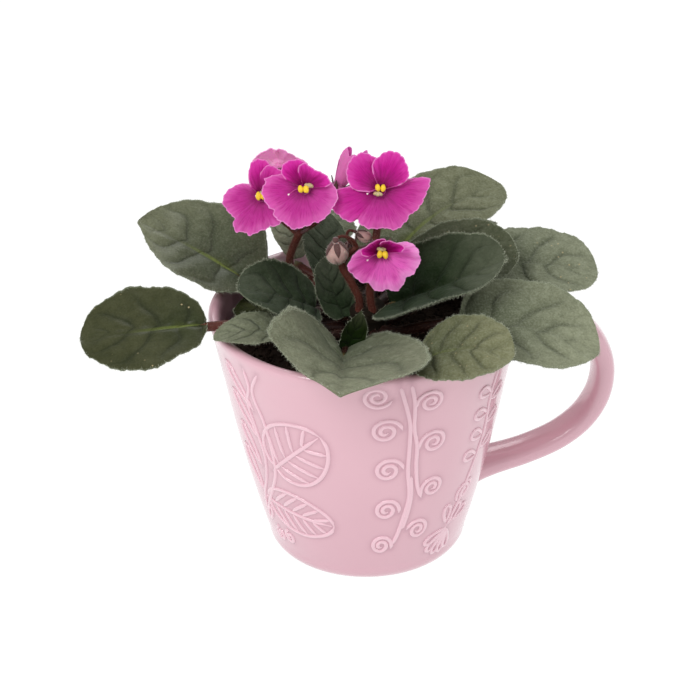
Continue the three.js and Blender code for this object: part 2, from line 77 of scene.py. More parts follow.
# Mug
MUG_HEIGHT = 88
RIM_RADIUS = 52
LIP_PROUD = 1.2
FOOT_RADIUS = 32.5
FOOT_ROUND = 6
FOOT_RECESS = 0.7
WALL_BULGE = 2
WALL = 3.9
MUG_FLOOR = 6
MUG_SIDES = 280
HANDLE_LINE = [
    (45.5, 74.2), (53, 76.6), (62, 78.2), (71, 76.4), (78, 70), (82, 60),
    (81.4, 49), (76.5, 39.5), (68, 32.3), (56, 27.2), (44, 24.2), (37, 22.6),
]
HANDLE_WIDTH = 13
HANDLE_THICKNESS = 8
HANDLE_ROWS = 120
HANDLE_SIDES = 40
BEAD_WIDTH = 1.6
BEAD_HEIGHT = 0.5
# How far from the relief its pooled glaze fades, and the radius at which it is laid out flat
POOL_WIDTH = 1.4
MIDDLE_RADIUS = 46.0
# The lip's section, as (how far inside the rim, height)
LIP_LINE = [(0.7, 83.5), (0.3, 85), (0.02, 86.2), (0.1, 87), (0.55, 87.7), (1.3, 88), (2.3, 87.9),
            (3.2, 87.3), (3.9, 86.2), (4.3, 84.5)]

# Soil and crown
SOIL_TOP = 76
SOIL_DOME = 2
SOIL_FOOT = 60
SOIL_SIDES = 150
CROWN_RADIUS = 7.5
CROWN_FOOT = 70
CROWN_TOP = 91
CROWN_SIDES = 64

# Leaves: base and tip of the midrib, greatest width, roll, arch and sideways bend of the
# midrib, rise of the right and left halves in degrees, petiole radius, direction and height
# at which it leaves the crown, then how olive (1) or blue-green (0) it is, and how light: its
# own tone together with painted shade, darker for leaves that lie in shade among the others.
Leaf = namedtuple("Leaf", "base tip width roll arch bend rise stem root olive light")
LEAVES = {
    "far_left": [(-53, -16, 90.8), (-92.9, -17, 86.3), 32.5, -22, 2, -1.5,
        (6, -2), 1.7, (200, 81), 0.95, 0.1],
    "upper_left": [(-41.5, 17, 91.6), (-76, 24.5, 108.9), 35, -12, 1, 0,
        (20, 2), 1.8, (166, 83), 0.5, 0.4],
    "inner_left": [(-16, -1.4, 88.6), (-41, -11.6, 101.2), 28, -10, 2, -2,
        (20, -2), 1.6, (184, 87.5), 0.1, 0.12],
    "left_rim": [(-26, -25, 91.5), (-49, -24, 90), 20, 0, 2, -0.8,
        (6, 4), 1.4, (224, 80.5), 0.35, 0.7],
    "front": [(-7.2, -25, 84.5), (-8.4, -77, 97.9), 52, 2, 0, 0,
        (46, 16), 1.6, (246, 80.5), 0.35, 0.8],
    "front_right": [(17, -42, 90.6), (46, -49, 96), 29, 22, 2, -1.5,
        (7, -4), 1.6, (292, 80.5), 0.75, 0.6],
    "inner_right": [(8, -2.5, 90.5), (46, -9, 109), 39, 20.5, 1, 2,
        (30, 10), 1.8, (345, 86), 0.2, 0.08],
    "back_right": [(10, 15, 87), (51, 5, 103), 37, 24, 1, -3,
        (12, 4), 1.7, (48, 85.5), 0.4, 0.3],
    "upper_right": [(12, 34.5, 92), (49, 57, 106), 36, 12, 1, -4,
        (4, 10), 1.8, (80, 82.5), 0.5, 0.62],
    "far_right": [(40, 20, 93), (79, 15, 91), 33, 20, 2, -1.5,
        (6, 0), 1.7, (20, 80.5), 0.3, 0.76],
    "lower_right": [(30, -21, 93), (74.6, -32, 86.4), 38, 10, 2, -2.5,
        (0, 12), 1.8, (320, 80.5), 0.35, 0.86],
    "upright": [(-6.5, -6, 87.2), (-12, 5, 104), 15, 10, 0, -1.5,
        (5, 8), 1.2, (212, 86), 0.1, 0.12],
    "behind_stalk": [(-12, 12, 91.5), (-15.6, 35, 108), 21, 30, 1, 0,
        (5, 10), 1.4, (124, 86.5), 0.1, 0.24],
    "back_left": [(-22.5, 16.5, 98), (-31, 40, 107), 10, 0, 1, 0,
        (8, 8), 1.9, (122, 89.5), 0.35, 0.9],
    "young_front": [(-6.4, -19, 80.3), (-1.2, -20, 96.3), 8.4, 112, 0, 0,
        (16, 16), 1, (262, 81), 0.45, -0.05],
    "young_left": [(-26, 6, 82), (-44, 9, 83), 20, 0, 1, 0,
        (5, 5), 1.2, (181, 80.8), 0.85, 0.08],
    "young_back": [(3.5, 11, 90.5), (8, 23, 102.5), 13, 0, 1, 0,
        (10, 10), 1.2, (92, 88), 0.3, 0.4],
    "rear": [(-13, 36, 93), (-22, 76, 87), 26, 0, 2, 1,
        (4, 4), 1.6, (104, 80.5), 0.4, 0.5],
    "rear_right": [(27, 36, 90.5), (41, 72, 86), 28, 0, 2, -1,
        (4, 4), 1.6, (52, 80.5), 0.5, 0.45],
    "rear_left": [(-38, 26, 91), (-66, 50, 86), 26, 0, 2, 1,
        (4, 4), 1.6, (144, 80.3), 0.35, 0.45],
}
# How far the base of a heart-shaped leaf reaches back beside its petiole on the left and on the
# right, and how pointed its tip is; other leaves take the plain form
LEAF_FORMS = {
    "inner_right": (3, 7, 0), "upper_right": (17, 3, 0), "lower_right": (3, 3, 0),
    "left_rim": (2, 2, 0.1), "young_front": (0.5, 0.5, 1.1), "inner_left": (0, 2, 0),
}
PLAIN_FORM = (2.1, 2.1, 0)
# Outlines of three leaves that are far from even, as (along the midrib, away from it) from the
# notch at the base to the tip, left half first
LEAF_OUTLINES = {
    "front": (
        [(0, 0), (-5, 0.6), (-8.7, 2), (-9.2, 6.3), (-8, 9.3), (-5.5, 12.4), (-2, 15.2),
         (2.4, 17.6), (8.3, 21), (14.1, 24.2), (19.1, 26.6), (23.8, 27.6), (29.2, 27.7),
         (36.5, 25.1), (42.9, 20.6), (50, 11), (52.9, 3.1), (53.7, 0)],
        [(0, 0), (-4, 0.6), (-7.4, 1.8), (-10.2, 4.7), (-9.8, 8.8), (-6, 11.7), (-1.4, 13.4),
         (5.6, 15.9), (11, 17.8), (15.2, 19.8), (18.9, 21.1), (22.2, 21.9), (25.4, 21.9),
         (27.7, 20.5), (31.5, 17.3), (41, 11.3), (51.2, 3.2), (53.7, 0)],
    ),
    "far_left": (
        [(0, 0), (-1.5, 0.7), (-1.6, 2.5), (-0.8, 4.8), (0.2, 6.9), (1.6, 9), (3.6, 10.4),
         (5.9, 11.8), (8.8, 13.5), (13.5, 15.6), (18.6, 17.1), (23.3, 16.3), (28.9, 14.1),
         (34.1, 10.8), (37.8, 7.2), (39.5, 3.4), (40.2, 0)],
        [(0, 0), (-1.5, 1), (-1.2, 2.8), (-0.6, 4.8), (0.3, 7.3), (1.8, 9.8), (3.6, 11.8),
         (5.9, 13.5), (8.2, 14.6), (12, 15.6), (16.3, 16.5), (22.1, 17.8), (27, 16.8),
         (31.9, 14.9), (36.1, 11.3), (39.1, 5.3), (40.2, 0)],
    ),
    "upper_left": (
        [(0, 0), (-2.6, 2), (-3.7, 5.2), (-1.4, 9.5), (4, 13.9), (12.2, 15.7), (18.8, 16.5),
         (24.4, 14.8), (30.1, 10.1), (35.1, 4.9), (39.3, 0)],
        [(0, 0), (-2.2, 2.5), (-5.4, 5.1), (-6.1, 8.8), (-3.5, 13.1), (0.3, 17.7), (6.8, 20.5),
         (13.9, 20.7), (18.9, 21), (25.8, 19.6), (31.6, 15), (35.5, 10), (37.9, 4.1), (39.3, 0)],
    ),
}
# Marks on a few leaves: how bright the green of the midrib stands out, where it isn't a crease
# of painted shade; how much further the painted shade at the foot spreads; specks; and shine
# where down is thin
LEAF_MARKS = {
    "rib": {"far_left": 0.75, "upper_left": 1, "upper_right": 0.7, "front_right": 0.25,
            "rear": 0.6, "rear_left": 0.6, "rear_right": 0.6},
    "gloom": {"inner_right": 1, "inner_left": 0.4, "young_front": 1, "behind_stalk": 0.3,
              "front": 0.6, "lower_right": 0.8, "front_right": 0.5, "upper_left": 0.8,
              "far_right": 0.4, "upright": 0.6},
    "freckled": {"far_left": 1.4, "far_right": 1, "back_right": 0.8, "front_right": 0.6},
    "gloss": {"far_left": 0.4, "upper_left": 0.45},
}
# How far along a petiole the painted shade at its root reaches, where it lies in shade under
# the leaves
PETIOLE_SHADE = {"front": 1.4, "young_front": 1.4, "far_left": 0.5}
USUAL_SHADE = 0.85
# Narrower leaves have no raised midrib
LEAST_RIBBED = 14
PETIOLE_ROWS = 80
PETIOLE_SIDES = 16
LEAF_ROWS = 76
LEAF_COLUMNS = 60
LEAF_THICKNESS = 0.8
VEIN_PAIRS = 5

# Blooms: middle of the throat, the way the bloom faces, where the style ends as (right, up,
# forward) of it, where the anthers and the pale filaments lie as (right, up), and its fans. A
# fan is a run of petals grown together: its layer, how far its rim stands forward, the turns of
# the seams between its petals, how deep each petal's colour is, and its outline as [turn
# clockwise from upright in degrees, distance from the throat, and height where it varies].
BLOOMS = [
    [(-33.2, 3, 127), (-0.28, -0.84, 0.46), (-0.9, -0.3, 2.6), (0.9, 0), (1.4, 0.8), [
        (0, 0.4, (152, 223), (0.5, 0.55, 0.6), [
            (48, 8.5), (57, 9.4), (76, 9.9), (96, 10.5), (117, 10.9), (136, 11.2), (147, 11.2),
            (153, 10.4), (161, 11), (171, 11.4), (179, 12.2), (186, 13.2), (190, 13.5),
            (196, 13), (201, 13.2), (205, 14), (208, 14.4), (214, 13.7), (220, 12.4), (224, 11.5),
            (231, 11.9), (240, 12.5), (250, 13.1), (259, 13.1), (267, 12.5), (275, 11.3),
            (284, 9.6), (293, 8.1), (303, 6.4), (309, 5.4)]),
        (1, 1.0, (), (0.85,), [
            (-54, 4), (-46, 5.8), (-38, 7.8), (-29, 9.9), (-21, 11.3), (-12, 11.9), (-4, 11.9),
            (5, 11.4), (13, 10.2), (19, 8)]),
        (1.8, 1.2, (), (0.8,), [
            (-4, 7), (5, 9.4), (16, 10.7), (25, 10.7), (34, 11), (45, 11), (56, 9.6), (64, 7)])]],
    [(-18.8, -5.5, 133.2), (-0.04, -0.88, 0.47), (-5, -2.3, 3.6), (-0.25, -0.5), (1.5, 0.8), [
        (0, 0.4, (162, 236), (0.4, 0.5, 0.65), [
            (66, 7.2), (77, 8.8), (85, 9.6), (95, 10.5), (103, 11), (111, 11.2), (121, 11),
            (130, 11.2), (138, 11.4), (149, 11.6), (158, 11.8), (163, 11.3), (168, 11.8),
            (182, 12.5), (190, 13.2), (197, 13.6), (202, 13.3), (207, 12.8), (215, 13),
            (223, 13.3), (230, 13), (235, 12.1), (241, 12.9), (248, 13.2), (255, 13.5),
            (261, 13.7), (268, 13.9), (273, 13.3), (279, 12.8), (283, 13.3), (286, 12.5),
            (291, 11.2), (297, 9.8), (304, 8.4)]),
        (1.8, 1.0, (), (0.9,), [
            (-22, 5.6), (-12, 7.4), (0, 8.1), (6, 7.8), (14, 7.3), (21, 7), (30, 6.9), (37, 7),
            (49, 7.6), (59, 8.2), (70, 8.6), (80, 8.6), (88, 7)]),
        (1, 1.0, (), (0.9,), [
            (-66, 6.6), (-58, 8.6), (-49, 9.8), (-39, 10.3), (-29, 10.1), (-20, 9.8), (-12, 9.5),
            (-5, 9), (4, 8), (12, 6.2)])]],
    [(5.4, -3, 131.1), (0.03, -0.88, 0.47), (-4.4, -1.4, 3.6), (0.05, 0.5), (-0.8, -1.3), [
        (0, 0.4, (132, 219), (0.65, 0.55, 0.75), [
            (60, 7), (70, 10), (73, 12.5), (76, 15.4), (79, 16.5), (83, 16.4), (89, 15.7),
            (98, 14.8), (107, 14.3), (117, 13.7), (126, 13.1), (131, 12.3), (137, 12.9),
            (148, 13.3), (158, 13.8), (167, 13.2), (173, 12.4), (182, 12.4), (192, 12.7),
            (201, 13.1), (208, 12.8), (215, 12.7), (219, 11.7), (223, 13.7), (231, 14.9),
            (238, 15.5), (244, 16), (251, 16.8), (258, 17.2), (265, 16.8), (270, 15.3),
            (274, 12.9), (280, 9.4)]),
        (1, 1.0, (), (0.8,), [
            (-100, 3.6), (-95, 5), (-91, 7.2), (-85, 9.1), (-76, 10.5), (-66, 11.8), (-57, 12.7),
            (-47, 13.4), (-39, 13.8), (-32, 13.6), (-23, 13.2), (-17, 12.3), (-10, 11.1),
            (-4, 10.1), (4, 8)]),
        (2.2, 1.2, (), (0.85,), [
            (-24, 5.6), (-19, 7.6), (-13, 9.3), (-6, 10.1), (1, 10.9), (7, 12), (16, 12.8),
            (24, 13.1), (33, 13), (41, 12.4), (52, 11.5), (61, 10.7), (69, 9.8), (75, 8.3),
            (80, 6)])]],
    [(5.7, -13, 113.5), (0.04, -0.93, 0.37), (-5, -2.1, 2.4), (0, -0.4), (-0.2, 1.4), [
        (0, 0.8, (136, 207), (0.05, 0.15, 0.35), [
            (56, 5.4), (62, 7), (68, 8.9), (74, 10.1), (81, 11.1), (87, 11.7), (93, 12),
            (99, 12.4), (105, 12.9), (111, 12.4), (118, 12.3), (126, 12.2), (132, 11.7),
            (136, 10.9), (141, 11.6), (149, 12.3), (155, 12.9), (161, 13.2), (166, 12.7),
            (171, 11.9), (177, 11.9), (183, 12.3), (189, 12.4), (196, 11.9), (201, 11.2),
            (206, 10.4), (211, 11.1), (218, 11.6), (231, 11.7), (239, 11.9), (246, 12.2),
            (251, 12.1), (257, 11), (264, 9.9), (272, 8.7), (281, 7.2), (290, 5.2)]),
        (1, 4.4, (), (1,), [
            (-100, 4.8), (-90, 6.8), (-79, 7.3), (-66, 6), (-47, 5.2), (-25, 4.9), (-4, 4.9),
            (8, 4.8), (18, 4)]),
        (1.8, 4.6, (), (1,), [
            (-20, 3.4), (-6, 3.9), (9, 4.2), (33, 4.9), (55, 5.7), (64, 6.7), (76, 7.2),
            (86, 6)])]],
    [(-27.3, 17.6, 131.6), (0.05, 0.86, 0.5), (-4.2, -1, 4.4), (0, -0.4), (0, 1.2), [
        (0, 0, (128, 224), (0.0, 0.0, 0.0), [
            (46, 7), (58, 8), (70, 9), (85, 9.5), (100, 9.8), (115, 9.5), (127, 8.6), (136, 9.2),
            (150, 9.8), (165, 10.4), (180, 10.6), (200, 10.3), (215, 9.6), (224, 8.7),
            (236, 9.2), (252, 9.6), (268, 9.4), (284, 8.9), (296, 8), (308, 7)]),
        (0.2, -0.8, (), (0.0,), [
            (-80, 6), (-66, 7.4), (-52, 8), (-38, 8.4), (-24, 9), (-13, 9.4), (-3, 9.5), (4, 9.1),
            (10, 7.4)]),
        (0.6, -0.8, (), (0.0,), [
            (-2, 7), (4, 9), (9, 9.4), (16, 9.6), (28, 9.6), (40, 9.5), (52, 9.3), (64, 8.9),
            (76, 7.6), (86, 6)])]],
    [(-7.7, 7.6, 128.6), (0.5, 0.2, 0.84), (-0.6, -0.4, 4.5), (0, 0), (0, 0.8), [
        (0, 0, (111,), (0.7, 0.7), [
            (28, 4.1, 6.5), (37, 4, 7.8), (45, 4.1, 10), (60, 4.2, 11.8), (75, 4.4, 12.3),
            (90, 4.2, 11.8), (104, 3.8, 9.6), (111, 3.3, 8), (122, 3.9, 9), (136, 4.3, 11),
            (144, 4.4, 12.6), (152, 4.5, 13.4), (162, 4.4, 12.9), (172, 4.1, 11.2), (182, 3.7, 9.4),
            (190, 3.2, 7)]),
        (0.4, 0, (258, 322), (0.7, 0.7, 0.7), [
            (178, 3, 6.5), (186, 3.3, 8), (193, 3.9, 10.5), (207, 4.4, 12.2), (222, 4.5, 12.4),
            (237, 4.3, 11.5), (250, 3.8, 9.8), (258, 3.5, 8.6), (266, 3.9, 9.6), (280, 4.1, 10.2),
            (294, 4.2, 10.8), (309, 4.2, 10.8), (322, 4, 10), (332, 4, 10.4), (342, 4.1, 11.2),
            (354, 4.2, 11.8), (366, 4.2, 11.8), (380, 4.2, 10.6), (392, 4.3, 8.8),
            (402, 4.2, 7)])]],
]
PETAL_START = 1.3
LAYER_STEP = 0.7
PETAL_THICKNESS = 0.5
FAN_ROWS = 26
RIM_STEP = 0.5
THROAT_DEPTH = 2.2
ANTHER_LENGTH = 2.6
ANTHER_LIFT = 1.4
# Section of the small funnel in the middle, as (radius, height)
THROAT = [(0, -THROAT_DEPTH), (1.2, -THROAT_DEPTH), (1.7, -1.6), (1.9, -0.6), (1.9, 0), (1.5, 0.5),
          (0, 0.6)]
THROAT_SIDES = 32

# Flower stalks
STALK_RADIUS = 1.25
PEDICEL_RADIUS = 0.75
# Cups under the blooms and buds, as (radius, height), a bud's radius as a share of the bud's
BLOOM_CUP = [(0, -1.5), (0.9, -1.4), (1.3, -0.6), (1.6, 0.25), (0, 0.4)]
BUD_CUP = [(0, -0.8), (0.22, -0.7), (0.3, 0.1), (0.26, 0.6), (0, 0.7)]
SEPAL_LENGTH = 5.2
SEPAL_HALF = 0.95
SEPAL_ROWS = 14
SEPAL_COLUMNS = 8
# How far the sepals turn forward, in degrees: they spread, but clasp the half-closed bloom
OPEN_SPREAD = -8
CLASPED_SPREAD = 48
CLASPED = 5  # which bloom that is, counted from 0
# Stalks: the points of the stem, then the blooms with a point that their pedicel passes, and
# the buds, both counted from 0
STALKS = [
    ([(-5, 2.4, 88), (-12, 7, 89.8), (-19, 11, 92.5), (-24.5, 11, 98), (-21.2, 4, 113.5)],
     [(0, (-29, 7, 119)), (1, (-18, 5, 122)), (4, (-25, 12, 120)), (5, (-11.5, 5, 120))], []),
    ([(-2.2, -4.4, 87), (-1.7, -4.6, 92.5), (-4.5, -5, 99.5), (-7.2, -4.6, 106),
      (-2.3, -3.6, 111.5)],
     [], [0, 1, 2]),
    ([(2.8, -4.4, 87), (2, -5, 92), (1.8, -5, 96.3), (2.9, -5.5, 106.9), (4.6, -1.6, 119),
      (5.2, -0.3, 124)],
     [(2, (5.3, 0.4, 126)), (3, (4, -7.5, 109))], []),
]

# Buds: middle, radius, length, the way the tip points, and the arched line of the pedicel
Bud = namedtuple("Bud", "middle radius length points pedicel")
BUD_ROWS = 40
BUD_SIDES = 60
BUDS = [
    Bud((-8.8, -7, 111.2), 3.7, 8, (0.08, 0.05, -1),
        [(-2.3, -3.8, 111.5), (-4.3, -5, 115), (-7.6, -6.2, 116.4), (-9, -7, 115.6)]),
    Bud((0, -2, 114.4), 2.1, 5.6, (0.9, -0.1, -0.5),
        [(-2.3, -3.6, 111.5), (-5, -2, 113.3), (-5.4, -1.8, 115.4), (-4.6, -1.8, 116.4)]),
    Bud((-5.4, -1.4, 110.6), 1.3, 3.2, (-0.3, 0.1, -0.9),
        [(-2.3, -3.6, 111.5), (-3.2, -2.4, 113), (-4.3, -1.6, 113.4)]),
]

# Room and lamps: name, place in metres, size and power
FLOOR_REACH = 30.0
ROOM_LIGHT = 0.48
LIT_POINT = (0, 0, 0.08)
LAMPS = (
    ("key_softbox", (-0.7, -0.75, 1.1), 0.7, 11.5),
    ("side_softbox", (0.95, -0.5, 0.7), 0.7, 3.2),
    ("back_softbox", (0.2, 0.9, 1.0), 0.8, 4.8),
)


def unit(v):
    v = np.asarray(v, float)
    return v / np.linalg.norm(v, axis=-1, keepdims=True)


def smooth(a, b, x):
    s = np.clip((np.asarray(x, float) - a) / (b - a), 0, 1)
    return s * s * (3 - 2 * s)


def turned_about(v, axis, angle):
    axis = unit(axis)
    return (v * math.cos(angle) + np.cross(axis, v) * math.sin(angle)
            + axis * (v @ axis) * (1 - math.cos(angle)))


def with_plant(points):
    """Points of the plant, turned about the mug's axis into the frame of the part."""
    c, s = math.cos(PLANT_TURN), math.sin(PLANT_TURN)
    turn = np.array([[c, -s, 0], [s, c, 0], [0, 0, 1]])
    return np.asarray(points, float) @ turn.T


def smooth_line(points, count):
    """Evenly spaced points of a smooth line through the given ones, with its ends included."""
    p = [np.asarray(q, float) for q in points]
    p = [2 * p[0] - p[1], *p, 2 * p[-1] - p[-2]]
    fine = []
    for k in range(1, len(p) - 2):
        p0, p1, p2, p3 = p[k - 1:k + 3]
        d0, d1, d2 = (max(np.linalg.norm(b - a), 1e-6) ** 0.5
                      for a, b in ((p0, p1), (p1, p2), (p2, p3)))
        m1 = ((p1 - p0) / d0 - (p2 - p0) / (d0 + d1) + (p2 - p1) / d1) * d1
        m2 = ((p2 - p1) / d1 - (p3 - p1) / (d1 + d2) + (p3 - p2) / d2) * d1
        for w in np.linspace(0, 1, 24, endpoint=False):
            fine.append(p1 + m1 * w + (3 * (p2 - p1) - 2 * m1 - m2) * w * w
                        + (2 * (p1 - p2) + m1 + m2) * w ** 3)
    return evenly([*fine, p[-2]], count)


def evenly(points, count):
    points = np.array(points)
    run = np.r_[0, np.cumsum(np.linalg.norm(np.diff(points, axis=0), axis=1))]
    at = np.linspace(0, run[-1], count)
    return np.stack([np.interp(at, run, points[:, k]) for k in range(3)], axis=1)


def bezier(a, b, c, d, count):
    t = np.linspace(0, 1, count)[:, None]
    return (1 - t) ** 3 * a + 3 * t * (1 - t) ** 2 * b + 3 * t * t * (1 - t) * c + t ** 3 * d


class Shape:
    """Points and faces of a piece, gathered from its parts, with what each point carries."""

    def __init__(self):
        self.points, self.faces, self.marks, self.count = [], [], [], 0

    def add(self, points, faces, **marks):
        points = np.asarray(points, float).reshape(-1, 3)
        self.faces += [[i + self.count for i in face] for face in faces]
        self.points.append(points)
        self.marks.append({k: np.broadcast_to(np.asarray(v, float).ravel(), len(points))
                           for k, v in marks.items()})
        self.count += len(points)
        return self


def in_scene(name, data):
    made = bpy.data.objects.new(name, data)
    bpy.context.scene.collection.objects.link(made)
    return made


def placed(made, slot, *nodes):
    """Says which body a piece moves with and which solids it stands for; slot, what it is made of,
    is not used.
    """
    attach(made, "root")
    if nodes:
        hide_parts(*nodes)
    return made


def piece(name, shape, node, slot, finish):
    """A finished piece of the object from a shape in millimetres."""
    mesh = bpy.data.meshes.new(name)
    points = np.concatenate(shape.points) * MM
    mesh.from_pydata(points.tolist(), [], shape.faces)
    for key in sorted({k for marks in shape.marks for k in marks}):
        layer = mesh.attributes.new(key, "FLOAT", "POINT")
        values = np.concatenate([m.get(key, np.zeros(len(p)))
                                 for m, p in zip(shape.marks, shape.points)])
        layer.data.foreach_set("value", values.astype(np.float32))
    mesh.polygons.foreach_set("use_smooth", [True] * len(mesh.polygons))
    mesh.materials.append(finish)
    mesh.update()
    return placed(in_scene(name, mesh), slot, node)


def sheet_grid(rows, columns, pointed=True):
    """Faces of a closed sheet: two grids that share their rim, with a point at each end or an
    edge there. Returns which grid corners are kept and the faces between them."""
    top = np.arange((rows + 1) * (columns + 1)).reshape(rows + 1, columns + 1)
    low = top + top.size
    low[:, 0], low[:, -1] = top[:, 0], top[:, -1]
    low[0], low[-1] = top[0], top[-1]
    if pointed:
        for grid in (top, low):
            grid[0, :] = columns // 2
            grid[-1, :] = rows * (columns + 1) + columns // 2
    faces = []
    for grid, turn in ((top, 1), (low, -1)):
        for i in range(rows):
            for j in range(columns):
                ring = [grid[i, j], grid[i, j + 1], grid[i + 1, j + 1], grid[i + 1, j]][::turn]
                ring = [int(c) for k, c in enumerate(ring) if c != ring[k - 1]]
                if len(ring) > 2:
                    faces.append(ring)
    kept = sorted({c for face in faces for c in face})
    number = {c: k for k, c in enumerate(kept)}
    return np.array(kept), [[number[c] for c in face] for face in faces]


def add_sheet(shape, grid, top, low, **marks):
    """Adds a closed sheet to a shape. Top and low are grids of points."""
    kept, faces = grid
    points = np.concatenate([top.reshape(-1, 3), low.reshape(-1, 3)])[kept]
    both = {k: np.concatenate([np.broadcast_to(v, top.shape[:2]).ravel()] * 2)[kept]
            for k, v in marks.items()}
    under = np.repeat([0.0, 1.0], top.shape[0] * top.shape[1])
    return shape.add(points, faces, under=under[kept], **both)


def ring_faces(rings, sides, turn=1, tips=True):
    """Faces round a bar of rings of points, and to the point at each end that follows them.
    Turn is -1 where the points of a ring run the other way about the bar."""
    pairs = [((j + 1) % sides, j)[::turn] for j in range(sides)]
    faces = [[i + a, i + b, i + sides + b, i + sides + a]
             for i in range(0, (rings - 1) * sides, sides) for a, b in pairs]
    first, last = rings * sides, (rings - 1) * sides
    for a, b in pairs if tips else []:
        faces += [[first, b, a], [first + 1, last + a, last + b]]
    return faces


def add_tube(shape, line, widths, out=None, heights=None, sides=16, **marks):
    """Adds a closed bar along a line. It is round, or an oval that lies flat to out."""
    line = np.asarray(line, float)
    count = len(line)
    widths = np.broadcast_to(np.asarray(widths, float), count)
    heights = widths if heights is None else np.broadcast_to(np.asarray(heights, float), count)
    tangent = unit(np.gradient(line, axis=0))
    if out is None:
        start = np.cross(tangent[0], (0.3, 0.2, 1) if abs(tangent[0][2]) < 0.9 else (1, 0, 0))
        normals = [unit(start)]
        for t in tangent[1:]:
            normals.append(unit(normals[-1] - t * (normals[-1] @ t)))
        normals = np.array(normals)
    else:
        normals = unit(out - tangent * np.sum(out * tangent, axis=1, keepdims=True))
    across = np.cross(tangent, normals)
    turn = np.linspace(0, 2 * math.pi, sides, endpoint=False)
    rings = (line[:, None] + across[:, None] * (widths[:, None] * np.cos(turn))[..., None]
             + normals[:, None] * (heights[:, None] * np.sin(turn))[..., None])
    tips = [line[0] - tangent[0] * 0.5 * widths[0], line[-1] + tangent[-1] * 0.5 * widths[-1]]
    along = np.r_[np.repeat(np.linspace(0, 1, count), sides), 0, 1]
    return shape.add(np.concatenate([rings.reshape(-1, 3), tips]), ring_faces(count, sides),
                     along=along, **marks)


def add_turned(shape, outline, sides, axis=None, **marks):
    """Adds a round solid from (radius, height) points that start and end on the axis.
    Axis is its origin and the directions right, up and along."""
    outline = np.asarray(outline, float)
    turn = np.linspace(0, 2 * math.pi, sides, endpoint=False)
    r, z = outline[1:-1, 0], outline[1:-1, 1]
    body = np.stack([r[:, None] * np.cos(turn), r[:, None] * np.sin(turn),
                     np.broadcast_to(z[:, None], (len(r), sides))], axis=2).reshape(-1, 3)
    points = np.concatenate([body, [(0, 0, outline[0, 1]), (0, 0, outline[-1, 1])]])
    if axis is not None:
        origin, right, up, along = axis
        points = origin + points[:, :1] * right + points[:, 1:2] * up + points[:, 2:] * along
    return shape.add(points, ring_faces(len(r), sides, -1), **marks)


def plant_axis(origin, right, along):
    """An axis of the plant, for a round solid that stands on it."""
    origin, right, along = (with_plant(v) for v in (origin, right, along))
    return origin, right, np.cross(along, right), along


# Finishes


def paint(red, green, blue):
    """A colour given as it looks on a screen, 0 to 255, as the light that a shader uses."""
    return tuple(((c / 255 + 0.055) / 1.055) ** 2.4 if c > 10 else c / 3294.6
                 for c in (red, green, blue)) + (1,)


WHITE = (1, 1, 1, 1)
BLACK = (0, 0, 0, 1)


def add_node(tree, kind, settings=(), values=()):
    """A node with its settings, and with each input linked to a socket or given a value."""
    made = tree.nodes.new(kind)
    for key, value in dict(settings).items():
        setattr(made, key, value)
    for key, value in dict(values).items():
        if isinstance(value, bpy.types.NodeSocket):
            tree.links.new(value, made.inputs[key])
        else:
            made.inputs[key].default_value = value
    return made


class Value:
    """A number that a finish works out at each point of a surface."""

    def __init__(self, finish, socket):
        self.finish, self.socket = finish, socket

    def maths(self, operation, *others):
        return self.finish.node("ShaderNodeMath", {"operation": operation},
                                dict(enumerate([self, *others])))

    def __add__(self, other):
        return self.maths("ADD", other)

    __radd__ = __add__

    def __sub__(self, other):
        return self.maths("SUBTRACT", other)

    def __rsub__(self, other):
        return self.maths("MULTIPLY_ADD", -1, other)

    def __mul__(self, other):
        return self.maths("MULTIPLY", other)

    __rmul__ = __mul__

    def __truediv__(self, other):
        return self.maths("DIVIDE", other)

    def size(self):
        return self.maths("ABSOLUTE")

    def between(self, low, high):
        """0 below low, 1 above high and a smooth rise between them."""
        return self.finish.node(
            "ShaderNodeMapRange", {"interpolation_type": "SMOOTHSTEP"},
            {"Value": self, "From Min": low, "From Max": high})


class Finish:
    """A material that is built node by node."""

    def __init__(self, name):
        self.material = bpy.data.materials.new(name)
        self.material.use_nodes = True
        self.tree = self.material.node_tree
        self.tree.nodes.clear()

    def node(self, kind, settings=(), values=(), output=0):
        values = {key: getattr(value, "socket", value) for key, value in dict(values).items()}
        return Value(self, add_node(self.tree, kind, settings, values).outputs[output])

    def mark(self, name):
        """What the points of a piece carry under a name."""
        return self.node("ShaderNodeAttribute", {"attribute_name": name}, output="Fac")

    def marks(self, names):
        return [self.mark(name) for name in names.split()]

    def place(self):
        return self.node("ShaderNodeTexCoord", output="Object")

    def noise(self, scale, detail=4, place=None, rough=0.55):
        return self.node("ShaderNodeTexNoise", (), {
            "Vector": place or self.place(), "Scale": scale, "Detail": detail,
            "Roughness": rough})

    def cells(self, scale):
        return self.node("ShaderNodeTexVoronoi", (), {"Vector": self.place(), "Scale": scale})

    def colour(self, factor, low, high):
        return self.node("ShaderNodeMix", {"data_type": "RGBA"}, {0: factor, 6: low, 7: high},
                         output=2)

    def stretched(self, place, x, y, z):
        return self.node("ShaderNodeVectorMath", {"operation": "MULTIPLY"},
                         {0: place, 1: (x, y, z)})

    def point(self, x, y, z):
        return self.node("ShaderNodeCombineXYZ", (), {0: x, 1: y, 2: z})

    def bump(self, height, distance, strength=1.0):
        """Unevenness of a surface, its distance in millimetres."""
        return self.node("ShaderNodeBump", (), {
            "Height": height, "Distance": distance * MM, "Strength": strength})

    def surface(self, **values):
        shader = self.node("ShaderNodeBsdfPrincipled", (),
                           {key.replace("_", " "): value for key, value in values.items()})
        add_node(self.tree, "ShaderNodeOutputMaterial", (), {"Surface": shader.socket})
        return self.material


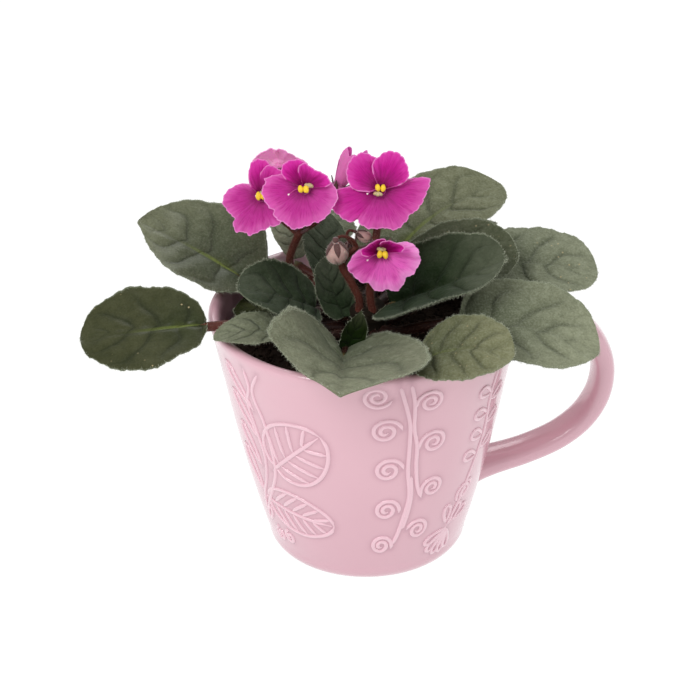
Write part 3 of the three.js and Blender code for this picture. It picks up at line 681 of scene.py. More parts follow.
def glaze_finish():
    f = Finish("pale_pink_glaze")
    pool, bead = f.marks("pool bead")
    cloudy = f.noise(35, 3)
    speck = f.cells(420).between(0.03, 0.1)
    height = f.node("ShaderNodeSeparateXYZ", (), {0: f.place()}, "Z")
    base = f.colour(cloudy, paint(216, 170, 182), paint(222, 178, 189))
    # Painted shade: the glaze is darker towards the foot
    base = f.colour((1 - height.between(0.0, 0.06)) * 0.3, base, paint(198, 150, 164))
    base = f.colour(pool * 0.6, base, paint(184, 134, 150))
    base = f.colour(bead * 0.8, base, paint(236, 196, 207))
    base = f.colour((1 - speck) * 0.25, base, paint(186, 150, 160))
    return f.surface(Base_Color=base, Roughness=cloudy * 0.08 + 0.2,
                     Normal=f.bump(f.noise(90, 2), 0.12), Coat_Weight=0.6, Coat_Roughness=0.08,
                     IOR=1.5)


def soil_finish():
    f = Finish("dark_potting_soil")
    grain = f.noise(600, 6)
    base = f.colour(grain, paint(28, 21, 18), paint(70, 56, 47))
    base = f.colour(f.noise(90, 3).between(0.55, 0.7) * 0.5, base, paint(70, 54, 42))
    return f.surface(Base_Color=base, Roughness=0.95, Specular_IOR_Level=0.15,
                     Normal=f.bump(f.cells(350) + grain, 1.0))


def leaf_finish():
    """Downy leaf: its marks say where a point lies on the blade, how that leaf is tinted and how
    much painted shade it carries.
    """
    f = Finish("quilted_velvet_leaf")
    side, along, under, olive, light, gloom = f.marks("side along under olive light gloom")
    a = side.size()
    wave = (f.mark("veins") * math.pi).maths("SINE").size()
    fade = (1 - a.between(0.6, 1.0)) * (1 - along.between(0.6, 0.95))
    laterals = (1 - wave.between(0.0, 0.3)) * fade
    middle = 1 - (a / (1.15 - along)).between(0.02, 0.08)
    crease = 1 - (a / (1.15 - along)).between(0.04, 0.3)
    patch = f.noise(75, 3)
    fuzz = f.noise(1500, 3, rough=0.7)
    pucker = f.noise(380, 3, rough=0.6)

    # Green, paler with painted light where down catches it, in broad patches and towards the tip,
    # and darker with painted shade at the foot of the leaf
    green = f.colour(olive, paint(10, 32, 6), paint(37, 41, 6))
    pale = f.colour(olive, paint(135, 142, 124), paint(148, 147, 106))
    lit = light * 0.9 + patch * 0.35 + gloom * along.between(0.4, 1.0) * 0.25
    base = f.colour(lit - 0.17, green, pale)
    deep = f.colour(0.65, base, paint(14, 27, 6))
    shade = (1 - along.between(0.0, gloom * 0.35 + 0.6)) * (1 - a.between(0.3, 1.0) * 0.5)
    base = f.colour(shade * (gloom * 0.45 + 0.45), base, f.colour(0.8, base, paint(12, 38, 6)))

    # Painted shade in the creases over the veins and along the midrib and in the hollows of the
    # puckers, painted highlights on the pucker crests, darker patches and fuzz
    base = f.colour((1 - wave.between(0.0, 0.8)) * fade * 0.45, base, deep)
    base = f.colour(laterals * 0.45, base, deep)
    base = f.colour(patch.between(0.45, 0.7) * 0.18, base, deep)
    base = f.colour((1 - pucker.between(0.3, 0.6)) * 0.3, base, deep)
    base = f.colour(pucker.between(0.5, 0.75) * 0.12, base,
                    f.colour(light, base, paint(190, 196, 178)))
    base = f.colour(crease * (1 - along * 0.7) * 0.4, base, deep)
    base = f.colour(fuzz.between(0.4, 0.8) * 0.24, base,
                    f.colour(light, base, paint(196, 200, 180)))
    base = f.colour((1 - fuzz).between(0.5, 0.8) * 0.34, base, deep)

    # Green midrib, downy rim, pale underside and specks
    glow = (1 - a.between(0.0, 0.25)) * (1 - along.between(0.0, 0.35)) * 0.45
    rib = (middle * (1 - along.between(0.05, 0.7)) * 0.85).maths("MAXIMUM", glow) * f.mark("rib")
    base = f.colour(rib, base, paint(116, 130, 58))
    base = f.colour(a.between(0.95, 1.0) * 0.45, base, paint(144, 152, 128))
    base = f.colour(under * 0.7, base, f.colour(light, paint(38, 40, 20), paint(118, 116, 92)))
    freckle = (1 - f.cells(360).between(0.07, 0.15)) * f.noise(60, 2).between(0.48, 0.56)
    base = f.colour(freckle * f.mark("freckled") * 0.65, base, paint(176, 160, 122))

    height = (1 - f.cells(650)) * 0.5 + fuzz * 0.5 + pucker * 2.6 - laterals * 1.2
    return f.surface(Base_Color=base, Roughness=0.6, Normal=f.bump(height, 0.26, 0.8),
                     Sheen_Weight=0.03, Sheen_Roughness=0.5, Specular_IOR_Level=0.07,
                     Coat_Weight=f.mark("gloss") * (0.5 + patch * 0.5), Coat_Roughness=0.3,
                     Sheen_Tint=(0.9, 1.0, 0.92, 1))


def petal_finish():
    """Petal: its marks say where a point lies on its fan and how deep the colour is there."""
    f = Finish("magenta_petal")
    turn, along, rich, under, rim = f.marks("turn along rich under rim")
    streak_place = f.point(turn * 7.5, along * 0.9, rich * 3)
    streak = f.noise(1.3, 3, streak_place, 0.6)
    fine = f.noise(4.2, 3, streak_place, 0.6)
    reach = f.mark("far") + (streak - 0.5) * 7

    # From the dark throat to the pale rim, for lilac, usual and vivid petals
    lilac, vivid = 1 - rich.between(0, 0.5), rich.between(0.5, 1)
    deep = f.colour(rich, paint(164, 60, 128), paint(116, 0, 72))
    mid = f.colour(lilac, f.colour(vivid, paint(184, 50, 142), paint(186, 0, 134)),
                   paint(224, 98, 186))
    pale = f.colour(lilac, f.colour(vivid, paint(212, 98, 174), paint(206, 40, 156)),
                    paint(240, 154, 212))
    base = f.colour(reach.between(rich * 1.2, rich * 8 + 3), deep, mid)
    base = f.colour((along + (streak - 0.5) * 0.6).between(0.5, 1.05) * 0.7, base, pale)

    # Veins, streaks in from the rim, the rim itself and the pale back, made paler still with
    # painted light as if lit through the petal
    veins = fine.between(0.5, 0.66) * (1 - along.between(0.55, 1.0))
    base = f.colour(veins * 0.5, base, f.colour(rich, paint(164, 36, 126), paint(138, 0, 92)))
    base = f.colour((1 - rim.between(0.2, 3.0)) * streak.between(0.25, 0.65) * 0.75, base, pale)
    base = f.colour((1 - rim.between(0.1, 0.6)) * 0.6, base, paint(238, 160, 212))
    base = f.colour(f.noise(420, 3).between(0.5, 0.75) * 0.1, base, pale)
    back = f.colour(rich.between(0, 0.6), paint(255, 206, 236), paint(230, 126, 190))
    base = f.colour(under * 0.85, base, back)

    height = f.cells(2200) * 0.3 + fine * 0.9 + streak * 0.6
    # Painted light: the backs of the palest petals glow as if lit through from behind
    glow = f.colour(under * (1 - rich.between(0.0, 0.1)), BLACK, paint(255, 96, 180))
    return f.surface(Base_Color=base, Roughness=0.55, Normal=f.bump(height, 0.3, 0.6),
                     Subsurface_Weight=0.25, Subsurface_Scale=0.001,
                     Subsurface_Radius=(1.0, 0.3, 0.8), Specular_IOR_Level=0.08,
                     Emission_Color=glow, Emission_Strength=0.2)


def mottled(name, scale, dark, bright, roughness, dents=0, detail=4, **more):
    """A plain finish of two mixed colours, with dents of a depth in millimetres."""
    f = Finish(name)
    patch = f.noise(scale, detail)
    if dents:
        more["Normal"] = f.bump(patch, dents)
    return f.surface(Base_Color=f.colour(patch, dark, bright), Roughness=roughness, **more)


def ovary_finish():
    f = Finish("downy_ovary")
    dust = f.noise(1800, 4)
    along = f.mark("along")
    base = f.colour(dust, paint(164, 138, 92), paint(214, 196, 150))
    base = f.colour(along.between(0.05, 0.3), base, paint(196, 70, 146))
    base = f.colour(along.between(0.86, 0.94), base, paint(252, 232, 236))
    return f.surface(Base_Color=base, Roughness=0.5, Normal=f.bump(dust, 0.1),
                     Subsurface_Weight=0.2, Subsurface_Scale=0.001)


def stalk_finish():
    f = Finish("maroon_stalk")
    flecks = f.cells(1100).between(0.1, 0.35)
    fresh, dim, along = f.marks("fresh dim along")
    base = f.colour(f.noise(160, 4), paint(54, 24, 19), paint(112, 58, 48))
    base = f.colour((1 - flecks) * 0.25, base, paint(130, 90, 76))
    # Painted shade: petioles darken towards the crown, in shade under the leaves
    root = dim.between(0.0, 0.1) * (1 - along.between(dim * 0.3, dim))
    base = f.colour(root * 0.85, base, paint(16, 8, 6))
    base = f.colour(fresh * 0.75, base, paint(110, 104, 58))
    return f.surface(Base_Color=base, Roughness=0.5, Normal=f.bump(f.noise(900, 3), 0.12),
                     Subsurface_Weight=0.1, Subsurface_Scale=0.001, Specular_IOR_Level=0.2)


def crown_finish():
    f = Finish("scarred_crown")
    rings = f.noise(220, 5, f.stretched(f.place(), 1, 1, 4))
    # Painted shade: a dark brown crown darkened close to black, as it lies in shade under the
    # leaves
    base = f.colour(rings, paint(12, 9, 7), paint(38, 31, 22))
    return f.surface(Base_Color=base, Roughness=0.9, Normal=f.bump(rings, 0.8),
                     Specular_IOR_Level=0.1)


def bud_finish():
    f = Finish("dusty_bud")
    folds = f.mark("fold")
    patch = f.noise(500, 4)
    base = f.colour(patch, paint(168, 128, 124), paint(206, 170, 160))
    base = f.colour(folds * 0.7, base, paint(120, 74, 78))
    return f.surface(Base_Color=base, Roughness=0.7, Normal=f.bump(patch, 0.2),
                     Sheen_Weight=0.3, Subsurface_Weight=0.1, Subsurface_Scale=0.001)


GLAZE = glaze_finish()
SOIL = soil_finish()
LEAF = leaf_finish()
PETAL = petal_finish()
ANTHER = mottled("pollen_yellow", 2500, paint(232, 176, 10), paint(252, 224, 60), 0.55, 0.15,
                 Subsurface_Weight=0.1, Subsurface_Scale=0.001)
OVARY = ovary_finish()
STALK = stalk_finish()
CROWN = crown_finish()
BUD = bud_finish()
SEPAL = mottled("maroon_sepal", 400, paint(58, 30, 32), paint(104, 66, 60), 0.7, 0.2,
                Sheen_Weight=0.3)
DOWN = mottled("pale_down", 300, paint(150, 156, 134), paint(206, 210, 190), 0.6, detail=2,
               Specular_IOR_Level=0.1)
RED_DOWN = mottled("reddish_down", 300, paint(96, 66, 56), paint(158, 132, 116), 0.6, detail=2,
                   Specular_IOR_Level=0.1)


# Scattered hairs and crumbs, and how much they differ in size
LEAST_SIZE = 0.55
GREATEST_SIZE = 1.25


def scatter_tree(name, make_one):
    """Geometry nodes that scatter one small shape over a surface, upright to it."""
    tree = bpy.data.node_groups.new(name, "GeometryNodeTree")
    labels = {}
    for label, kind in (("Surface", "Geometry"), ("Length", "Float"), ("Thickness", "Float"),
                        ("Per square metre", "Float"), ("Lean", "Float"), ("Seed", "Int"),
                        ("Finish", "Material")):
        labels[label] = tree.interface.new_socket(
            label, in_out="INPUT", socket_type=f"NodeSocket{kind}").identifier
    tree.interface.new_socket("Scattered", in_out="OUTPUT", socket_type="NodeSocketGeometry")

    def add(kind, values, output=0, **settings):
        return add_node(tree, kind, settings, values).outputs[output]

    given = tree.nodes.new("NodeGroupInput").outputs
    seed = given["Seed"]
    downy = add("GeometryNodeInputNamedAttribute", {"Name": "downy"}, "Attribute",
                data_type="FLOAT")
    density = add("ShaderNodeMath", {0: given["Per square metre"], 1: downy},
                  operation="MULTIPLY")
    spread = add_node(tree, "GeometryNodeDistributePointsOnFaces", (), {
        "Mesh": given["Surface"], "Density": density, "Seed": seed}).outputs
    back = add("ShaderNodeMath", {0: given["Lean"], 1: -1}, operation="MULTIPLY")
    lean = add("FunctionNodeRandomValue", {0: back, 1: given["Lean"], "Seed": seed},
               data_type="FLOAT_VECTOR")
    tilt = add("FunctionNodeRotateRotation",
               {"Rotation": spread["Rotation"], "Rotate By": lean}, rotation_space="LOCAL")
    size = add("FunctionNodeRandomValue", {2: LEAST_SIZE, 3: GREATEST_SIZE, "Seed": seed}, 1,
               data_type="FLOAT")
    stand = add("GeometryNodeInstanceOnPoints", {
        "Points": spread["Points"], "Instance": make_one(add, given), "Rotation": tilt,
        "Scale": size})
    whole = add("GeometryNodeRealizeInstances", {0: stand})
    coat = add("GeometryNodeSetMaterial", {"Geometry": whole, "Material": given["Finish"]})
    add_node(tree, "NodeGroupOutput", (), {0: coat})
    return tree, labels


def one_hair(add, given):
    return add("GeometryNodeMeshCone", {
        "Vertices": 3, "Side Segments": 1, "Radius Top": 0,
        "Radius Bottom": given["Thickness"], "Depth": given["Length"]}, "Mesh", fill_type="NGON")


def one_crumb(add, given):
    return add("GeometryNodeMeshIcoSphere", {"Subdivisions": 1, "Radius": given["Length"]},
               "Mesh")


HAIRS = scatter_tree("scattered_hairs", one_hair)
CRUMBS = scatter_tree("scattered_crumbs", one_crumb)

# What stands on a surface: shape, slot, length and thickness in millimetres, how many to a
# square millimetre, how far they lean in radians, the first seed, and the finish
COATS = {
    "blade": (HAIRS, "leaf", 0.8, 0.04, 10, 0.75, 0, DOWN),
    "petiole": (HAIRS, "stalk", 0.8, 0.03, 1.6, 0.7, 40, RED_DOWN),
    "stem": (HAIRS, "stalk", 0.8, 0.028, 4, 0.6, 60, RED_DOWN),
    "sepal": (HAIRS, "stalk", 0.6, 0.028, 2.2, 0.6, 70, RED_DOWN),
    "bud": (HAIRS, "bud", 0.6, 0.03, 3.5, 0.5, 80, DOWN),
    "crumbs": (CRUMBS, "soil", 0.7, 0, 0.25, 3, 5, SOIL),
}


def scattered(name, surface, coat, number=0):
    """A piece of hairs or crumbs that stands on another piece's surface."""
    (tree, labels), slot, length, thickness, density, lean, seed, finish = COATS[coat]
    host = in_scene(name + "_host", surface.data)
    growth = host.modifiers.new("growth", "NODES")
    growth.node_group = tree
    for label, value in (("Length", length * MM), ("Thickness", thickness * MM),
                         ("Per square metre", density / MM ** 2), ("Lean", lean),
                         ("Seed", seed + number), ("Finish", finish)):
        growth[labels[label]] = value
    bpy.context.view_layer.update()
    grown = host.evaluated_get(bpy.context.evaluated_depsgraph_get())
    mesh = bpy.data.meshes.new_from_object(grown)
    bpy.data.objects.remove(host)
    mesh.name = name
    return placed(in_scene(name, mesh), slot)


# Mug


def wall_radius(z):
    """The mug's radius outside at a height, without the relief."""
    s = np.asarray(z, float) / MUG_HEIGHT
    return (FOOT_RADIUS + (RIM_RADIUS - LIP_PROUD - FOOT_RADIUS) * s + WALL_BULGE * 4 * s * (1 - s)
            + 0.7 * LIP_PROUD * smooth(0.68, 0.98, s))


def on_wall(turn, z):
    """Points on the mug's outside at directions in degrees and heights, and the way out there."""
    turn, z = np.radians(np.asarray(turn, float)), np.asarray(z, float)
    r = wall_radius(z)
    slope = wall_radius(z + 0.5) - wall_radius(z - 0.5)
    points = np.stack([r * np.cos(turn), r * np.sin(turn), z], axis=-1)
    out = np.stack([np.cos(turn), np.sin(turn), -slope], axis=-1)
    return points, unit(out)


def flat_to_wall(points):
    """Turns (arc, height) in millimetres, laid flat, into direction and height."""
    return np.degrees(points[:, 0] / MIDDLE_RADIUS), points[:, 1]


def curve2(points, count):
    """A smooth line on the wall through (direction in degrees, height)."""
    return smooth_line([(arc(turn), z, 0) for turn, z in points], count)[:, :2]


def spiral(turn, z, radius, winds, start, hand):
    """A scroll that winds inwards from its outer end."""
    s = np.linspace(0, 1, 56)
    a = math.radians(start) + hand * 2 * math.pi * winds * s
    r = radius * (1 - 0.82 * s ** 0.8)
    return np.stack([arc(turn) + r * np.cos(a), z + r * np.sin(a)], axis=1)


def motif_frame(turn, z, heading):
    """Where a motif starts on the wall, laid flat, and the directions along and across it."""
    a = math.radians(heading)
    return (np.array([arc(turn), z]), np.array([math.cos(a), math.sin(a)]),
            np.array([-math.sin(a), math.cos(a)]))


def veined_leaf(turn, z, heading, length, width, veins):
    """Lines of a leaf motif: its outline, midrib and side veins."""
    base, u, s = motif_frame(turn, z, heading)

    def line(run, side):
        return base + np.outer(run * length, u) + np.outer(side, s)

    def half(t):
        return width / 2 * np.sin(math.pi * t ** 0.85) ** 0.5

    t = np.linspace(0, 1, 40)
    lines = [line(t, half(t)), line(t, -half(t)), line(np.linspace(-0.12, 0.97, 16), np.zeros(16))]
    w = np.linspace(0, 1, 10)
    for k in range(veins):
        root = 0.12 + 0.72 * k / veins
        for sign in (1, -1):
            reach = min(0.97, root + 0.24 + 0.03 * sign)
            lines.append(line(root + (reach - root) * w ** 1.2, sign * half(reach) * w))
    return lines


def teardrop(turn, z, heading, length, width):
    base, u, s = motif_frame(turn, z, heading)
    t = np.linspace(0, 2 * math.pi, 28)
    run = length * (1 - np.cos(t)) / 2
    side = width / 2 * np.sin(t) * (run / length) ** 0.6
    return base + np.outer(run, u) + np.outer(side, s)


def arc(turn):
    return math.radians(turn) * MIDDLE_RADIUS


def relief_lines():
    """The raised lines on the wall, as (arc, height): a scrolling vine, leaf sprigs and small
    blossoms, once on each side between the handle and the point across from it."""
    lines = []

    def curves(count, *rows):
        lines.extend(curve2(row, count) for row in rows)

    def scrolls(winds, *rows):
        lines.extend(spiral(turn, z, radius, winds, start, hand)
                     for turn, z, radius, start, hand in rows)

    def petals(*rows):
        lines.extend(teardrop(*row) for row in rows)

    # The vine and its scrolls
    curves(80,
           [(-86.6, 86.4), (-84.6, 80), (-81.6, 69), (-81.2, 62), (-81.1, 50), (-79.5, 38),
            (-81.1, 30), (-83.6, 21.5), (-86.5, 16.5)],
           [(-82.4, 86.4), (-80.5, 78), (-79.8, 67), (-78.1, 60), (-77.6, 51), (-76, 42),
            (-73.4, 36.5)],
           [(-79.6, 47), (-78.6, 39), (-79.4, 31), (-81.4, 24)])
    scrolls(1.9, (-94.5, 81.6, 4.7, -20, -1), (-91.0, 67.3, 5.2, 0, 1), (-89.5, 50.8, 5.2, 0, 1),
            (-89.6, 33.4, 5.0, -20, 1), (-91.6, 17.3, 4.6, -25, 1), (-74.0, 77.0, 4.8, 200, -1),
            (-70.8, 59.8, 5.2, 200, -1), (-68.6, 40.2, 4.8, 215, -1), (-73.0, 22.3, 4.8, 170, -1))

    # Two leaf sprigs on a stem with small leaves
    lines += veined_leaf(-141.3, 45, 44, 27.5, 24, 4)
    lines += veined_leaf(-153, 28, -5, 31, 17.5, 5)
    curves(70,
           [(-141, 83), (-146, 74), (-143, 64), (-141.5, 55), (-142, 43), (-148, 33), (-155, 25),
            (-161, 18)],
           [(-149, 83), (-147.5, 76), (-151, 68), (-149, 58), (-147, 48), (-150, 38), (-156, 29),
            (-161, 18)])
    petals((-148, 66, 126, 18, 5), (-148, 54, 124, 19, 5.4), (-151, 42, 118, 17, 5.6),
           (-155.5, 29, 110, 19, 6.4), (-160, 16, 60, 8, 3.6))
    scrolls(1.6, (-152, 12.5, 3.2, 90, 1), (-144, 13.5, 3, 90, 1))

    # A blossom on a stem with small leaves, next to the handle
    petals(*((-54, 17.5, heading, 11.5 - 0.5 * abs(k - 1), 4.6)
             for k, heading in enumerate((200, 222, 244, 266, 288))))
    petals((-52, 18.5, 62, 9, 5), (-50, 19.5, 28, 8.5, 4.6), (-55, 20, 96, 8, 4.6),
           (-49, 28.5, 48, 8, 5))
    scrolls(1.7, (-46.5, 31, 4.2, 230, -1))
    curves(60, [(-54, 17.5), (-49, 27), (-44, 40), (-40, 54), (-41, 70), (-38, 82)])
    petals(*((*row, 7.6, 5) for row in (
        (-43, 45, 160), (-41, 52.5, 155), (-40.7, 61, 160), (-41, 69, 150),
        (-40, 47, 15), (-39.6, 57, 10), (-40, 66, 20))))
    return lines


def add_relief(shape):
    """Half-round beads along the raised lines. Returns the points that they run through."""
    spine = []
    for half_turn in (0, 180):
        for line in relief_lines():
            flat = evenly(np.c_[line, np.zeros(len(line))], max(6, int(len(line) * 0.9)))
            turn, z = flat_to_wall(flat[:, :2])
            points, out = on_wall(turn + half_turn, z)
            ends = np.linspace(0, 1, len(points))
            taper = np.clip(np.minimum(ends, 1 - ends) * len(points) / 2.2, 0.35, 1)
            add_tube(shape, points - out * 0.05, BEAD_WIDTH / 2 * taper, out,
                     BEAD_HEIGHT * taper, 8, bead=1)
            spine.append(points)
    return np.concatenate(spine)


def mug_outline():
    """The mug's section from the middle of its foot, up outside, over the lip and down inside."""
    flat = wall_radius(FOOT_ROUND) - FOOT_ROUND
    foot = [(0, FOOT_RECESS), (flat - 9, FOOT_RECESS), (flat - 5, 0.6), (flat - 3.4, 0), (flat, 0)]
    corner = [(flat + FOOT_ROUND * math.sin(a), FOOT_ROUND * (1 - math.cos(a)))
              for a in np.radians(np.arange(10, 90, 10))]
    side = [(wall_radius(z), z) for z in np.arange(6.5, 82, 0.75)]
    lip = [(RIM_RADIUS - inward, z) for inward, z in LIP_LINE]
    inside = [(wall_radius(z) - WALL, z) for z in np.arange(82, 14, -2.0)]
    r = wall_radius(12) - WALL
    floor = [(r - 0.8, 11), (r - 2.2, 8.6), (r - 5, 6.6), (r - 9, MUG_FLOOR), (r - 20, MUG_FLOOR),
             (0, MUG_FLOOR)]
    return [*foot, *corner, *side, *lip, *inside, *floor]


def make_mug():
    relief = Shape()
    spine = add_relief(relief)
    piece("mug_relief", relief, "mug", "glaze", GLAZE)

    # The body carries how close the relief is, since glaze pools beside it
    tree = KDTree(len(spine))
    for k, p in enumerate(spine):
        tree.insert(p, k)
    tree.balance()
    body = add_turned(Shape(), mug_outline(), MUG_SIDES)
    near = np.array([tree.find(p)[2] for p in body.points[0]])
    body.marks[0]["pool"] = np.exp(-(near / POOL_WIDTH) ** 2)
    piece("mug_body", body, "mug", "glaze", GLAZE)


def make_handle():
    """A strap with rounded edges that flares where it joins the wall."""
    rows, sides = HANDLE_ROWS, HANDLE_SIDES
    line = smooth_line([(r, 0, z) for r, z in HANDLE_LINE], rows)
    tangent = unit(np.gradient(line, axis=0))
    out = np.cross(tangent, (0, 1, 0))
    turn = np.linspace(0, 2 * math.pi, sides, endpoint=False)
    across, thick = (np.sign(c) * np.abs(c) ** 0.82 for c in (np.cos(turn), np.sin(turn)))
    thick = thick * (0.94 + 0.06 * np.abs(across) ** 3)
    run = np.linspace(0, 1, rows)
    flare = 1 + 0.28 * np.exp(-run / 0.035) + 0.28 * np.exp(-(1 - run) / 0.05)
    level = np.array([0.0, 1, 0])
    rings = (line[:, None] + level * (HANDLE_WIDTH / 2 * flare[:, None] * across)[..., None]
             + out[:, None] * (HANDLE_THICKNESS / 2 * flare[:, None] * thick)[..., None])
    ends = [list(range(sides)), [(rows - 1) * sides + j for j in reversed(range(sides))]]
    handle = Shape().add(rings.reshape(-1, 3), ring_faces(rows, sides, tips=False) + ends)
    piece("mug_handle", handle, "mug", "glaze", GLAZE)


# Soil and crown


def lumps(x, y, scale, seed):
    """A smooth uneven height from a few waves in fixed odd directions."""
    rng = np.random.default_rng(seed)
    total = 0
    for k in range(9):
        a, phase = rng.uniform(0, 2 * math.pi, 2)
        run = (x * math.cos(a) + y * math.sin(a)) * scale * (0.6 + 0.2 * k)
        total = total + np.sin(run + phase)
    return total / 9


def make_soil():
    outer = wall_radius(SOIL_TOP) - WALL - 0.3
    rings = np.r_[0, np.linspace(0.02, 1, 60)]
    outline = [(0, SOIL_FOOT), (outer - 5, SOIL_FOOT)]
    outline += [(s * outer, SOIL_TOP + SOIL_DOME * math.cos(s * math.pi / 2))
                for s in rings[::-1]]
    shape = add_turned(Shape(), outline, SOIL_SIDES)
    p = shape.points[0]
    uneven = 0.9 * lumps(p[:, 0], p[:, 1], 0.5, 3) + 0.7 * lumps(p[:, 0], p[:, 1], 1.7, 4) - 0.3
    p[:, 2] += smooth(60.5, 75, p[:, 2]) * uneven
    shape.marks[0]["downy"] = (p[:, 2] > SOIL_TOP - 2).astype(float)
    soil = piece("potting_soil_bed", shape, "potting_soil", "soil", SOIL)
    scattered("potting_soil_crumbs", soil, "crumbs")


def make_crown():
    z = np.linspace(0, 1, 40)
    radius = (CROWN_RADIUS * (1 - 0.25 * smooth(0.75, 1, z))
              * np.sqrt(1 - smooth(0.82, 1.0, z) ** 2 * 0.9))
    heights = CROWN_FOOT + (CROWN_TOP - CROWN_FOOT) * z
    outline = [(0, CROWN_FOOT), *zip(radius, heights), (0, CROWN_TOP)]
    shape = add_turned(Shape(), outline, CROWN_SIDES)
    p = shape.points[0]
    bulge = 1 + 0.05 * lumps(p[:, 0], p[:, 2], 1.1, 8)
    p[:, :2] *= bulge[:, None]
    shape.points[0] = with_plant(p)
    piece("crown_stem", shape, "crown", "crown", CROWN)


# Leaves, all drawn on one grid
LEAF_GRID = sheet_grid(LEAF_ROWS, LEAF_COLUMNS)


def leaf_frame(base, tip, roll):
    """Base of a leaf, directions along, across and out of its upper face, and its length."""
    base, run = np.array(base, float), np.array(tip, float) - np.array(base, float)
    length = np.linalg.norm(run)
    u = run / length
    level = unit(np.cross(u, (0, 0, 1)))
    s = turned_about(level, u, math.radians(roll))
    return base, u, s, np.cross(s, u), length


def vein_phase(t, v, seed):
    """Counts the side veins from base to tip: whole numbers lie on a vein."""
    a = np.abs(v)
    p = np.random.default_rng(seed + 500).uniform(0, 2 * math.pi, 4)
    uneven = (0.22 * np.sin(2 * math.pi * 1.3 * t + p[0])
              + 0.12 * np.sin(2 * math.pi * 2.9 * t + p[1]))
    uneven = uneven * a + np.where(v > 0, 0.35, 0) * smooth(0, 0.1, a)
    uneven = uneven + 0.1 * np.sin(9 * a + p[2] + 7 * t) * a
    return VEIN_PAIRS * (t - (0.1 + 0.3 * t) * a ** 1.15) + uneven


def blade_grid(name, leaf, t, v, seed):
    """Points of a blade's upper face: t from base to tip, v from left (-1) to right (1)."""
    base, tip, width, roll, arch, bend, rise = leaf[:7]
    base, u, s, n, length = leaf_frame(base, tip, roll)
    a = np.abs(v)
    right = v > 0
    p = np.random.default_rng(seed).uniform(0, 2 * math.pi, 6)

    # Outline, with blunt uneven teeth
    run = t + 0.02 * np.sin(9 * t + p[2])
    teeth = (0.22 * np.sin(2 * math.pi * 13 * run + p[3])
             + 0.14 * np.sin(2 * math.pi * 29 * run + p[4])
             + 0.3 * np.sin(2 * math.pi * 4.3 * t + p[5] + 2 * right))
    teeth = teeth * a ** 6 * min(1, width / 30)
    outline = LEAF_OUTLINES.get(name)
    if outline:
        fine = np.linspace(0, 1, 200)
        left_edge, right_edge = (evenly(smooth_line([(*p, 0) for p in side], 200), 200)
                                 for side in outline)
        reach, half = (np.where(right, np.interp(t, fine, right_edge[:, k]),
                                np.interp(t, fine, left_edge[:, k])) for k in (0, 1))
        along = length * t + (reach - length * t) * a ** 1.15
        half = half + teeth * smooth(0, 0.1, t) * smooth(0, 0.1, 1 - t)
        fold = 1 - 0.65 * smooth(0.3, 0.8, t)
    else:
        left_lobe, right_lobe, point = LEAF_FORMS.get(name, PLAIN_FORM)
        half = (width / 2 + teeth) * np.sin(np.pi * t ** 0.86) ** 0.62
        half = half * (1 - point * 0.55 * smooth(0.55, 1, t))
        back = np.where(right, right_lobe, left_lobe) * (t / 0.1) * np.exp(1 - t / 0.1)
        sweep = 0.07 * length * np.sin(2 * np.pi * t) + back * (1 - 0.3 * a ** 4)
        along = length * t - sweep * a ** 1.3
        fold = np.minimum(1, 1.25 * (1 - t) + 0.45)
    across = half * v + bend * 4 * t * (1 - t)

    # Height of the upper face: folded halves, quilting between veins, waves and dents
    slope = np.where(right, *(math.tan(math.radians(r)) for r in rise))
    cup = slope * half * a * (0.35 + 0.65 * a) * fold
    size = min(1.1, width / 38)
    crease = np.abs(np.sin(math.pi * vein_phase(t, v, seed)))
    pillow = (crease ** 0.85 - 0.7) * (0.8 if outline else 1.25) * size
    pillow *= smooth(0, 0.16, a) * (1 - 0.75 * a ** 3)
    pillow *= smooth(0, 0.08, t) * smooth(0.0, 0.4, 1 - t)
    groove = -0.9 * size * np.exp(-((half * v) / (1.3 * size)) ** 2) * (1 - 0.8 * t)
    wave = 0.6 * size * a ** 2 * np.sin(2 * np.pi * 1.7 * t + p[0] + np.where(right, p[1], 0))
    dent = 0.7 * size * lumps(along / 6, across / 6, 1.2, seed + 90) * smooth(0.1, 0.4, a)
    up = arch * 4 * t * (1 - t) + cup + pillow + groove + wave + dent
    return base + along[..., None] * u + across[..., None] * s + up[..., None] * n, n


def make_blade(name, leaf, seed):
    # Rows lie closer at both ends and columns at both sides, where the rim bends most
    i = np.linspace(0, 1, LEAF_ROWS + 1)
    j = np.linspace(-1, 1, LEAF_COLUMNS + 1)
    t = 0.275 * (1 - np.cos(np.pi * i)) + 0.45 * i
    v = 0.35 * np.sin(j * np.pi / 2) + 0.65 * j
    t, v = np.meshgrid(t, v, indexing="ij")
    top, n = blade_grid(name, leaf, t, v, seed)
    body = LEAF_THICKNESS * min(1, leaf.width / 26) * np.sqrt(np.clip(1 - np.abs(v) ** 8, 0, 1))
    low = top - body[..., None] * n
    fringe = np.maximum(smooth(0.955, 0.99, np.abs(v)), smooth(0.975, 0.995, t))
    shape = add_sheet(
        Shape(), LEAF_GRID, with_plant(top), with_plant(low), side=v, along=t, olive=leaf.olive,
        light=leaf.light, veins=vein_phase(t, v, seed), downy=fringe,
        **{mark: strengths.get(name, 0) for mark, strengths in LEAF_MARKS.items()})
    blade = piece(f"leaf_{name}_blade", shape, f"leaf_{name}", "leaf", LEAF)
    scattered(f"leaf_{name}_down", blade, "blade", seed)


